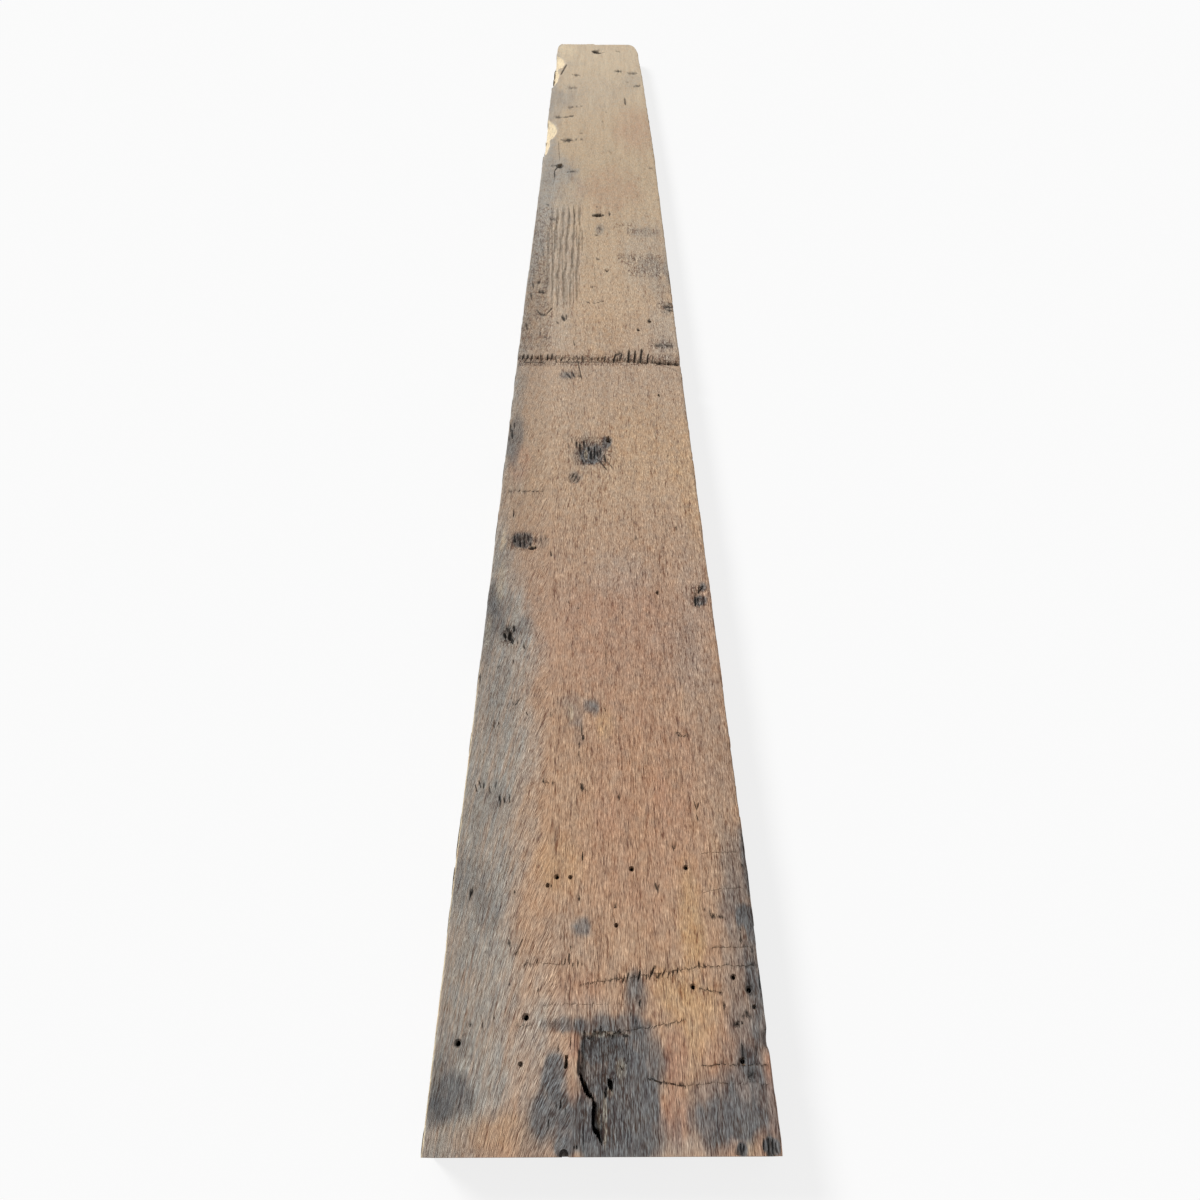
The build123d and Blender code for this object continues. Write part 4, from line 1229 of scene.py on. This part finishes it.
def oak_material(look, weather):
    """Weathered oak: bands, fibres and pores along the stock, stained by iron, rain and grime,
    with painted shade in its cuts, holes and eroded valleys.
    """
    material = bpy.data.materials.new("weathered_oak")
    material.use_nodes = True
    tree = Tree(material.node_tree)
    shader = material.node_tree.nodes["Principled BSDF"]

    across, y, height = (
        part * (1 / MM) for part in tree.parts("ShaderNodeTexCoord", "Object")
    )
    along = y - NEAR_Y
    place = across, along, height
    facing = tree.parts("ShaderNodeNewGeometry", "True Normal")
    side, end = (tree.rise(abs(part), *WALL_FACING) for part in facing[:2])
    foot = tree.rise(-facing[2], *FOOT_FACING)

    lean = tree.read("lean")
    marks = {name: tree.read(name) for name in MARK_NAMES}
    torn, eroded = marks["torn"], marks["eroded"]
    grains = grain(tree, place, lean)
    fine, middle, medium, broad, coarse = grains
    fuzz, blotch, curls, saw = (
        tree.cells(place, *cell) for cell in (FUZZ, BLOTCH, CURLS, SAW_MARKS)
    )
    pore_wide, pore_long, pore_detail = PORES
    pore = tree.noise(tree.vector(across / pore_wide, along / pore_long, height), pore_detail)
    crest = CRESTS[0] - abs(medium) * CRESTS[1]

    covers = stain_covers(tree, marks, grains, lean, fuzz, blotch)
    colour = tree.ramp(along / LENGTH, [(at / LENGTH, shown) for at, shown in BASE_TONES])
    for name in STAIN_ORDER:
        colour = tree.blend(colour, getattr(look, name), covers[name])
    # Fresh wood on the chips; on the left arris, worn wood and a painted highlight
    colour = tree.blend(colour, look.fresh_and_arris_light, fresh_wood_and_lit_arris(tree, place, facing, medium))
    colour = tree.blend(colour, look.end_grain, end * END_COVER)
    pith = tree.vector(across / RING_UNIT, 0.0, (height + RING_CENTRE_DROP) / RING_UNIT)
    rings = tree.out(
        "ShaderNodeTexWave",
        {"Vector": pith, **RING_WAVE},
        "Fac",
        wave_type="RINGS",
        rings_direction="Y",
    )

    bold = BOLD + weighed(BOLDER, covers["iron"], covers["grey"], torn)
    near = tree.rise(along, *NEAR_STEP)
    clear = FAR_LINES + near * (1 - FAR_LINES)
    thread = tree.rise(middle + medium * THREAD_MEDIUM, *THREAD_STEP)
    spark = tree.rise(middle + fine * SPARK_FINE, *SPARK_STEP)
    lines = weighed(LINE_WEIGHTS, fine, middle, medium, crest, spark, thread)
    bands = broad * (BROAD_STREAKS[0] - lean * BROAD_STREAKS[1])
    streaks = lines * clear + bands + coarse * COARSE_STREAKS
    pores = tree.rise(pore, *PORE_STEP) * (FAR_PORES + near * (1 - FAR_PORES))
    curls = tree.rise(abs(curls), *CURL_STEP) * torn
    shade = streaks * bold + (rings - 0.5) * end * RING_SHADE
    shade = shade - pores * PORE_SHADE * (1 - end) - curls * CURL_SHADE
    shade = shade.most(SHADE_RANGE[0]).least(SHADE_RANGE[1])
    wave = ridge_wave(tree, across, along, weather.ridge_pitch, weather.seed)
    # Painted shade in the eroded valleys, which the relief also sinks; the eroded zone painted
    # lighter
    valley_shade = tree.rise(wave + medium * VALLEY_GRAIN, *VALLEY_STEP) * eroded
    valley_shade = valley_shade * (VALLEY_DARK[0] + fuzz * VALLEY_DARK[1]) - eroded * RIDGE_LIGHT
    # The dark mark darkens the colour: dirt and painted shade in cut marks, holes and the plug
    grime_and_shade = (1 - marks["dark"] * DARKEST) * (1 - valley_shade)
    tint = tree.vector(
        *((1 + shade * by_shade + fuzz * by_fuzz) * grime_and_shade for by_shade, by_fuzz in TINTS)
    )
    colour = tree.out("ShaderNodeVectorMath", [colour, tint], operation="MULTIPLY")

    relief = weighed(GRAIN_RELIEF, middle, crest) * clear + broad * BROAD_RELIEF
    relief = relief - pores * PORE_RELIEF + weighed(TORN_RELIEF, fine, middle) * torn
    relief = relief + saw * (side + foot) * SAW_RELIEF + rings * end * RING_RELIEF
    bump = tree.out("ShaderNodeBump", {"Strength": 1.0, "Distance": MM, "Height": relief})
    plain, by_fine, by_iron = ROUGHNESS
    roughness = plain + fine * by_fine - covers["iron"] * by_iron
    for name, value in (("Base Color", colour), ("Roughness", roughness), ("Normal", bump)):
        tree.tree.links.new(value.socket, shader.inputs[name])
    shader.inputs["Specular IOR Level"].default_value = SPECULAR
    return material


def cover_points(stock, marks, loops):
    """The free points of the upper face: zones, close patches, cut marks, rims and rings."""
    blocks = [grid((LOW[0], HIGH[0], start, stop), dx, dy) for start, stop, dx, dy in BASE_ZONES]
    blocks += [grid(patch[:4], *patch[4:]) for patch in CLOSE_PATCHES]
    points = np.concatenate((thinned(mark_points(marks), CLOSEST_MARK), *blocks))
    inset = stock.inset(*points.T)
    rows = [stock.outline + inward_normals(stock.outline) * row for row in ARRIS_ROWS]
    points = np.concatenate((*rows, points[inset > ARRIS_ROWS[-1] + ARRIS_CLEAR]))
    points = clear_of(points, stock.holes, 2 * RING_STEP)
    rings = []
    for (x, y, radius), loop in zip(stock.holes, loops):
        rings += [(loop - (x, y)) * ((radius + step) / radius) + (x, y) for step in RING_STEPS]
    return thinned(np.concatenate((*rings, points)), CLOSEST_MARK)


def hole_loop(x, y, radius):
    """A hole's worn rim, clockwise."""
    radius = radius + HOLE_FLARE
    turn = np.linspace(0, -math.tau, HOLE_SIDES, endpoint=False)
    wear = 1 + waves(RIM_LOBES * np.cos(turn) + x, RIM_LOBES * np.sin(turn) + y, RIM_WEAR)
    return np.column_stack((x + np.cos(turn) * radius * wear, y + np.sin(turn) * radius * wear))


def warped(stock, x, y):
    """Places pushed about like torn grain, and less so near the outline."""
    along = y - NEAR_Y
    free = smooth((stock.inset(x, y) - WARP_INSET[0]) / WARP_INSET[1])
    calm = smooth((along - WARP_CALM[0]) / WARP_CALM[1])
    push_x, push_y = waves(x, along, WARP_ACROSS), waves(x, along, WARP_ALONG)
    return x + push_x * free * calm, y + push_y * free * calm


def top_heights(stock, x, y, marks):
    """The upper face's height at each place, and how black its marks are."""
    along = y - NEAR_Y
    deep = stock.depth(*warped(stock, x, y))
    bent = x + waves(x, along, BEND_ACROSS), along + waves(x, along, BEND_ALONG)
    cut, black = carve(*bent, marks)
    black = (black * (BLACK_MEAN + waves(x, along, BLACK_WAVES))).clip(0, 1)
    nicks = np.clip(waves(along, x, NICK_WAVES) - NICK_START, 0, 1) * NICK_DEPTH
    nicks = nicks * smooth((NICK_REACH[0] - stock.inset(x, y)) / NICK_REACH[1])
    return THICKNESS - deep - cut - nicks - FACE_DROP + waves(x, along, FACE_WAVES), black


def add_sides(shell, outline, upper, height):
    """Close the long sides and the ends down to the lower arris, and give its last loop."""
    rim_height = height[: len(outline)]
    for share in SIDE_LEVELS:
        level = LOWER_ARRIS + (rim_height - LOWER_ARRIS) * share
        upper = shell.row(upper, outline, level, SIDE)
    for share_in, share_up in LOWER_ARRIS_ROWS:
        drawn_in = outline * (1 - share_in * LOWER_ARRIS / HIGH[:2])
        upper = shell.row(upper, drawn_in, share_up * LOWER_ARRIS, SIDE)
    return upper


def add_hole(shell, hole, loop, upper, height, blind):
    """Close a hole's wall, down to the underside or to a blind hole's tip."""
    x, y, radius = hole
    bottom = THICKNESS - TACK_DEPTH if blind else 0.0
    top = height[upper].min()
    for share, wide in TACK_LEVELS if blind else HOLE_LEVELS:
        ring = (loop - (x, y)) * (wide * radius / (radius + HOLE_FLARE)) + (x, y)
        upper = shell.row(upper, ring, bottom + (top - bottom) * share, HOLE)
    if blind:
        tip = int(shell.points([x], [y], [bottom - TACK_TIP], HOLE)[0])
        shell.fill([(first, tip, second) for first, second in closed_pairs(upper)], HOLE)
    return upper


def add_foot(shell, feet, bores):
    """Close the underside between the loops that reach it."""
    margin_x, margin_y = FOOT_MARGIN
    box = (LOW[0] + margin_x, HIGH[0] - margin_x, margin_y, LENGTH - margin_y)
    inner = clear_of(grid(box, *FOOT_STEP), bores, FOOT_CLEARANCE)
    rim_points = np.concatenate(shell.blocks)[np.concatenate(feet), :2]
    numbers = np.concatenate((*feet, shell.points(*inner.T, 0.0, FOOT)))
    flat = np.concatenate((rim_points, inner))
    faces = face_triangles(flat, split_loops(np.arange(len(flat)), feet), bores, 1.0)
    shell.fill(numbers[faces[:, ::-1]].tolist(), FOOT)


def plug_notch_shade(shell, outline):
    """A closed dark body sunk in the mouth of the hole that the end cut opened: painted shade."""
    x, y = outline.T
    first_y, last_y = (NEAR_Y + reach for reach in PLUG_SEARCH)
    arc = outline[(y > first_y) & (y < last_y) & (np.abs(x) < HIGH[0] - PLUG_MARGIN)][::-1]
    mouth = [(end[0], NEAR_Y + PLUG_START) for end in (arc[-1], arc[0])]
    loop = np.concatenate((arc, mouth))
    loop = loop + (loop - loop.mean(axis=0)) * PLUG_GRIP
    upper, lower = (shell.points(*loop.T, level, HOLE) for level in PLUG_LEVELS)
    shell.band(upper, lower, HOLE)
    shell.fill([upper.tolist(), lower[::-1].tolist()], HOLE)


def plank_shell(stock):
    """The weathered plank as a closed mesh, and how black each point of its upper face is."""
    marks = CUTS + score_runs()
    outline, holes = stock.outline, stock.holes
    loops = [hole_loop(*hole) for hole in holes]
    flat = np.concatenate((outline, *loops, cover_points(stock, marks, loops)))
    height, black = top_heights(stock, *flat.T, marks)
    shell = Shell()
    rims = split_loops(shell.points(*flat.T, height, TOP), (outline, *loops))
    shell.fill(face_triangles(flat, rims, holes, ALONG_STRETCH).tolist(), TOP)
    feet = [add_sides(shell, outline, rims[0], height)]
    for index, (hole, loop, rim) in enumerate(zip(holes, loops, rims[1:])):
        blind = index >= len(stock.bores)
        lowest = add_hole(shell, hole, loop, rim, height, blind)
        if not blind:
            feet.append(lowest)
    add_foot(shell, feet, stock.bores)
    plug_notch_shade(shell, outline)
    return shell, black


def store_marks(mesh, shell, black):
    """Store the stains and the kind of surface for the material."""
    kinds = np.concatenate(shell.kinds)
    x, y, _ = np.concatenate(shell.blocks).T
    along = y - NEAR_Y
    top = kinds == TOP
    known = {name: cover(rows, x, along) for name, rows in STAINS.items()}

    band = np.interp(along, *zip(*GREY_BAND)) + waves(x, along, BAND_WAVES)
    left = smooth((band + GREY_EDGE / 2 - x) / GREY_EDGE)
    known["grey"] = np.maximum(known["grey"], left * GREYEST)
    # Hole walls and the plug: dirt and painted shade; the upper face: the cut marks' black
    hole_dirt_and_shade = np.where(along > FAR_HOLES, FAR_HOLE_DIRT_AND_SHADE, HOLE_DIRT_AND_SHADE)
    known["dark"] = np.where(kinds == HOLE, hole_dirt_and_shade, np.pad(black, (0, len(x) - len(black))))

    torn = np.zeros(len(x))
    for x0, x1, a0, a1, amount in TORN_AREAS:
        reach_x = smooth((np.minimum(x - x0, x1 - x) + TORN_ACROSS[0]) / TORN_ACROSS[1])
        reach_a = smooth((np.minimum(along - a0, a1 - along) + TORN_ALONG[0]) / TORN_ALONG[1])
        torn = np.maximum(torn, reach_x * reach_a * amount)
    known["torn"] = torn * top
    known["eroded"] = window(x, *ERODED_ACROSS) * window(along, *ERODED_ALONG) * top
    seam = np.interp(along, *zip(*LEAN_BOUNDARY)) + waves(x, along, SEAM_WAVES)
    leaning = smooth((seam + LEAN_EDGE / 2 - x) / LEAN_EDGE)
    known["lean"] = leaning * smooth((LEAN_STOP - along) / LEAN_FADE)
    known["top"] = top
    for name, values in known.items():
        layer = mesh.attributes.new(name, "FLOAT", "POINT")
        layer.data.foreach_set("value", np.asarray(values, np.float32))


def read_all(items, name, width, kind=float):
    """One property of every item, as an array."""
    values = np.empty(len(items) * width, kind)
    items.foreach_get(name, values)
    return values.reshape(-1, width) if width > 1 else values


def lay_out(mesh, shell):
    """Give the mesh its own map: the upper face in strips, the rest beside them."""
    layer = mesh.uv_layers.new(name="OFBake")
    x, y, z = np.concatenate(shell.blocks)[read_all(mesh.loops, "vertex_index", 1, int)].T
    sizes = read_all(mesh.polygons, "loop_total", 1, int)
    face_of = np.repeat(np.arange(len(sizes)), sizes)
    centre = (read_all(mesh.polygons, "center", 3) / MM)[face_of]
    facing = read_all(mesh.polygons, "normal", 3)[face_of]
    walls = np.array(shell.walls)[face_of]
    along, in_from_left = y - NEAR_Y, x - LOW[0]
    left, far = facing[:, 0] < 0, centre[:, 1] > 0
    end_wall = np.abs(facing[:, 1]) > END_FACING
    turn = np.arctan2(y - centre[:, 1], x - centre[:, 0])

    strip = np.clip((centre[:, 1] - NEAR_Y) // (LENGTH / STRIPS), 0, STRIPS - 1)
    start_u, start_v = STRIP_START
    u = start_u + (along - strip * LENGTH / STRIPS + STRIP_LEAD) * FACE_SCALE
    v = start_v + strip * STRIP_PITCH + in_from_left * FACE_SCALE
    spread = (centre[:, 0] - LOW[0]) * HOLE_SPREAD
    others = (
        (
            (walls == SIDE) & ~end_wall,
            MAP_EDGE + along * SIDE_SCALE,
            SIDE_ROW + left * SIDE_PITCH + z * SIDE_SCALE,
        ),
        (
            (walls == SIDE) & end_wall,
            END_COLUMN + z * FACE_SCALE,
            MAP_EDGE + far * END_PITCH + in_from_left * FACE_SCALE,
        ),
        (
            walls == FOOT,
            MAP_EDGE + along * SIDE_SCALE,
            FOOT_ROW + in_from_left * SIDE_SCALE,
        ),
        (
            walls == HOLE,
            END_COLUMN + (z % HOLE_FOLD) * FACE_SCALE,
            HOLE_ROW + spread + turn * HOLE_TURN,
        ),
    )
    for here, other_u, other_v in others:
        u, v = np.where(here, other_u, u), np.where(here, other_v, v)
    layer.data.foreach_set("uv", np.column_stack((u, v)).astype(np.float32).ravel())


def applied(host, name):
    """A plain mesh object of what the host's modifiers make."""
    graph = bpy.context.evaluated_depsgraph_get()
    mesh = bpy.data.meshes.new_from_object(host.evaluated_get(graph))
    mesh.name = name
    piece = bpy.data.objects.new(name, mesh)
    bpy.context.scene.collection.objects.link(piece)
    bpy.data.objects.remove(host)
    return piece


def relief_tree():
    """A node tree that sinks ridges and fibres into the upper face."""
    group = bpy.data.node_groups.new("weathered_relief", "GeometryNodeTree")
    face = group.interface
    face.new_socket("Geometry", in_out="INPUT", socket_type="NodeSocketGeometry")
    for name in ("Ridge Pitch", "Ridge Depth", "Tear Depth", "Seed"):
        face.new_socket(name, in_out="INPUT", socket_type="NodeSocketFloat")
    face.new_socket("Material", in_out="INPUT", socket_type="NodeSocketMaterial")
    face.new_socket("Geometry", in_out="OUTPUT", socket_type="NodeSocketGeometry")
    tree = Tree(group)
    entry = tree.add("NodeGroupInput")
    geometry, pitch, depth, tear, seed, finish = (
        Socket(tree, output) for output in entry.outputs[:6]
    )
    across, y, _ = (part * (1 / MM) for part in tree.parts("GeometryNodeInputPosition"))

    def stored(name):
        return tree.out("GeometryNodeInputNamedAttribute", {"Name": name}, data_type="FLOAT")

    def furrows(wide, long, step):
        return tree.noise(tree.vector(across / wide, y / long, seed + step), 2)

    wave = ridge_wave(tree, across, y - NEAR_Y, pitch, seed)
    valley = tree.rise(wave, *VALLEY_STEP) * stored("eroded")
    shred = (furrows(*SHRED) * 0.5 + 0.5) * stored("torn")
    sunk = valley * depth + shred * tear + furrows(*COARSE) * COARSE_DEPTH
    drop = -(sunk * stored("top")) * MM
    moved = tree.out(
        "GeometryNodeSetPosition",
        {"Geometry": geometry, "Offset": tree.vector(0.0, 0.0, drop)},
    )
    joined = tree.out("GeometryNodeRealizeInstances", [moved])
    done = tree.out("GeometryNodeSetMaterial", {"Geometry": joined, "Material": finish})
    tree.add("NodeGroupOutput", [done])
    return group


def set_inputs(modifier, values):
    """Set a node modifier's inputs by their names' identifiers."""
    for item in modifier.node_group.interface.items_tree:
        if item.in_out == "INPUT" and item.name in values:
            modifier[item.identifier] = values[item.name]


def finish_material(context):
    """The one oak finish, made when it is first needed."""
    found = bpy.data.materials.get("weathered_oak")
    return found or oak_material(context.scene.plank_finish, context.scene.plank_relief)


def put_in(scene, name, data):
    """A new object in the scene."""
    made = bpy.data.objects.new(name, data)
    scene.collection.objects.link(made)
    return made


def floor_material():
    """A pale floor that is white to the camera and keeps a light shadow."""
    material = bpy.data.materials.new("floor")
    material.use_nodes = True
    material.node_tree.nodes.clear()
    tree = Tree(material.node_tree)
    lit = tree.out("ShaderNodeBsdfDiffuse", [FLOOR_COLOUR])
    white = tree.out("ShaderNodeEmission", [WHITE, 1.0])
    mixed = tree.out("ShaderNodeMixShader", [tree.seen() * FLOOR_WHITE, lit, white])
    tree.add("ShaderNodeOutputMaterial", [mixed])
    return material


def studio_world(sky):
    """Even light from all sides, in front of a white background."""
    world = bpy.data.worlds.new("studio")
    world.use_nodes = True
    world.node_tree.nodes.clear()
    tree = Tree(world.node_tree)
    level = tree.seen() * (1 - sky) + sky
    backdrop = tree.out("ShaderNodeBackground", [WHITE, level])
    tree.add("ShaderNodeOutputWorld", [backdrop])
    return world


class PlankRelief(bpy.types.PropertyGroup):
    """How deep the weather has cut"""

    ridge_pitch: bpy.props.FloatProperty(
        name="Ridge pitch",
        description="Distance across the plank from one eroded ridge to the next, in mm",
        default=10.5,
        min=1,
    )
    ridge_depth: bpy.props.FloatProperty(
        name="Ridge depth",
        description="Depth of the valleys between the eroded ridges, in mm",
        default=1.9,
        min=0,
    )
    tear_depth: bpy.props.FloatProperty(
        name="Tear depth",
        description="Depth of the furrows in torn wood, in mm",
        default=1.5,
        min=0,
    )
    seed: bpy.props.FloatProperty(
        name="Seed",
        description="Chooses another pattern of ridges and furrows",
        default=7,
    )


def colour_property(name, description, red, green, blue):
    """A colour that a user may change, given as a screen shows it."""
    return bpy.props.FloatVectorProperty(
        name=name,
        description=description,
        subtype="COLOR",
        size=3,
        min=0,
        max=1,
        default=tone(red, green, blue),
    )


class PlankFinish(bpy.types.PropertyGroup):
    """The colours of the weathered oak"""

    grey: colour_property("Weathered grey", "Wood that rain and sun have greyed", 161, 153, 143)
    gold: colour_property(
        "Golden oak", "Wood kept golden where something covered it", 184, 148, 110
    )
    red: colour_property("Reddish oak", "Warm reddish heartwood", 166, 126, 104)
    iron: colour_property("Iron stain", "Blue-black stain round old nails", 94, 93, 93)
    pale: colour_property("Pale fibres", "Fibres bared where the grain tore", 214, 195, 165)
    # Also laid on the left arris, as worn wood and painted highlight
    fresh_and_arris_light: colour_property("Fresh oak", "Pale wood bared where chips broke off", 228, 208, 172)
    end_grain: colour_property("End grain", "Darker wood of the sawn ends", 132, 106, 82)


class PlankStage(bpy.types.PropertyGroup):
    """Camera and light"""

    lens: bpy.props.FloatProperty(
        name="Lens", description="Focal length in mm on a 36 mm sensor", default=21.234
    )
    eye_height: bpy.props.FloatProperty(
        name="Eye height",
        description="Height of the camera over the floor",
        default=0.6411,
        unit="LENGTH",
    )
    tilt: bpy.props.FloatProperty(
        name="Tilt",
        description="Camera's turn up from straight down",
        default=math.radians(38.43),
        subtype="ANGLE",
    )
    sun: bpy.props.FloatProperty(
        name="Lamp", description="Strength of the lamp from the left", default=2.9
    )
    sky: bpy.props.FloatProperty(
        name="Fill", description="Strength of the even light from all sides", default=0.4
    )


class PLANK_OT_body(bpy.types.Operator):
    """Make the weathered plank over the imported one"""

    bl_idname = "plank.body"
    bl_label = "Weathered plank"

    def execute(self, context):
        shell, black = plank_shell(Stock(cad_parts["plank"]))
        mesh = shell.mesh("plank_shell")
        store_marks(mesh, shell, black)
        lay_out(mesh, shell)
        host = put_in(context.scene, "plank_host", mesh)
        relief = context.scene.plank_relief
        modifier = host.modifiers.new("relief", "NODES")
        modifier.node_group = relief_tree()
        inputs = {
            "Ridge Pitch": relief.ridge_pitch,
            "Ridge Depth": relief.ridge_depth,
            "Tear Depth": relief.tear_depth,
            "Seed": relief.seed,
            "Material": finish_material(context),
        }
        set_inputs(modifier, inputs)
        piece = applied(host, "plank_body")
        piece.data.shade_smooth()
        piece.data.set_sharp_from_angle(angle=math.radians(SHARP_ANGLE))
        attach(piece, "root")
        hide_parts("plank")
        return {"FINISHED"}


class PLANK_OT_stage(bpy.types.Operator):
    """Put down the floor, the light and the camera"""

    bl_idname = "plank.stage"
    bl_label = "Floor, light and camera"

    def execute(self, context):
        scene = context.scene
        stage = scene.plank_stage
        flat = bpy.data.meshes.new("floor")
        turns = ((-1, -1), (1, -1), (1, 1), (-1, 1))
        corners = [(x * FLOOR_REACH, y * FLOOR_REACH, 0) for x, y in turns]
        flat.from_pydata(corners, [], [(0, 1, 2, 3)])
        flat.materials.append(floor_material())
        floor = put_in(scene, "floor", flat)

        sun = bpy.data.lights.new("lamp", "SUN")
        sun.energy = stage.sun
        sun.angle = math.radians(LAMP_WIDTH)
        lamp = put_in(scene, "lamp", sun)
        lamp.rotation_euler = Vector(LAMP_FROM).to_track_quat("Z", "Y").to_euler()
        scene.world = studio_world(stage.sky)

        lens = bpy.data.cameras.new("camera")
        lens.sensor_width = SENSOR
        lens.lens = stage.lens
        lens.clip_start = NEAREST_SEEN
        camera = put_in(scene, "camera", lens)
        camera.location = (EYE_X * MM, (NEAR_Y + EYE_ALONG) * MM, stage.eye_height)
        camera.rotation_euler = (stage.tilt, 0, math.radians(EYE_TURN))
        scene.camera = camera
        scene.view_settings.view_transform = "Standard"
        return {"FINISHED"}


class PLANK_PT_panel(bpy.types.Panel):
    """The plank's settings and the steps that make it"""

    bl_idname = "PLANK_PT_panel"
    bl_label = "Reclaimed oak plank"
    bl_space_type = "VIEW_3D"
    bl_region_type = "UI"
    bl_category = "Plank"

    def draw(self, context):
        for group in GROUPS:
            settings = getattr(context.scene, group)
            box = self.layout.box()
            for name in settings.__annotations__:
                box.prop(settings, name)
        for operator in STEPS:
            self.layout.operator(operator.bl_idname)


STEPS = (PLANK_OT_body, PLANK_OT_stage)
GROUPS = {
    "plank_relief": PlankRelief,
    "plank_finish": PlankFinish,
    "plank_stage": PlankStage,
}


def register():
    for name, group in GROUPS.items():
        bpy.utils.register_class(group)
        setattr(bpy.types.Scene, name, bpy.props.PointerProperty(type=group))
    for kind in (*STEPS, PLANK_PT_panel):
        bpy.utils.register_class(kind)


def unregister():
    for kind in (PLANK_PT_panel, *reversed(STEPS)):
        bpy.utils.unregister_class(kind)
    for name, group in reversed(GROUPS.items()):
        delattr(bpy.types.Scene, name)
        bpy.utils.unregister_class(group)


def main():
    """Make every piece."""
    register()
    bpy.ops.plank.body()
    bpy.ops.plank.stage()


if __name__ == "__main__":
    main()
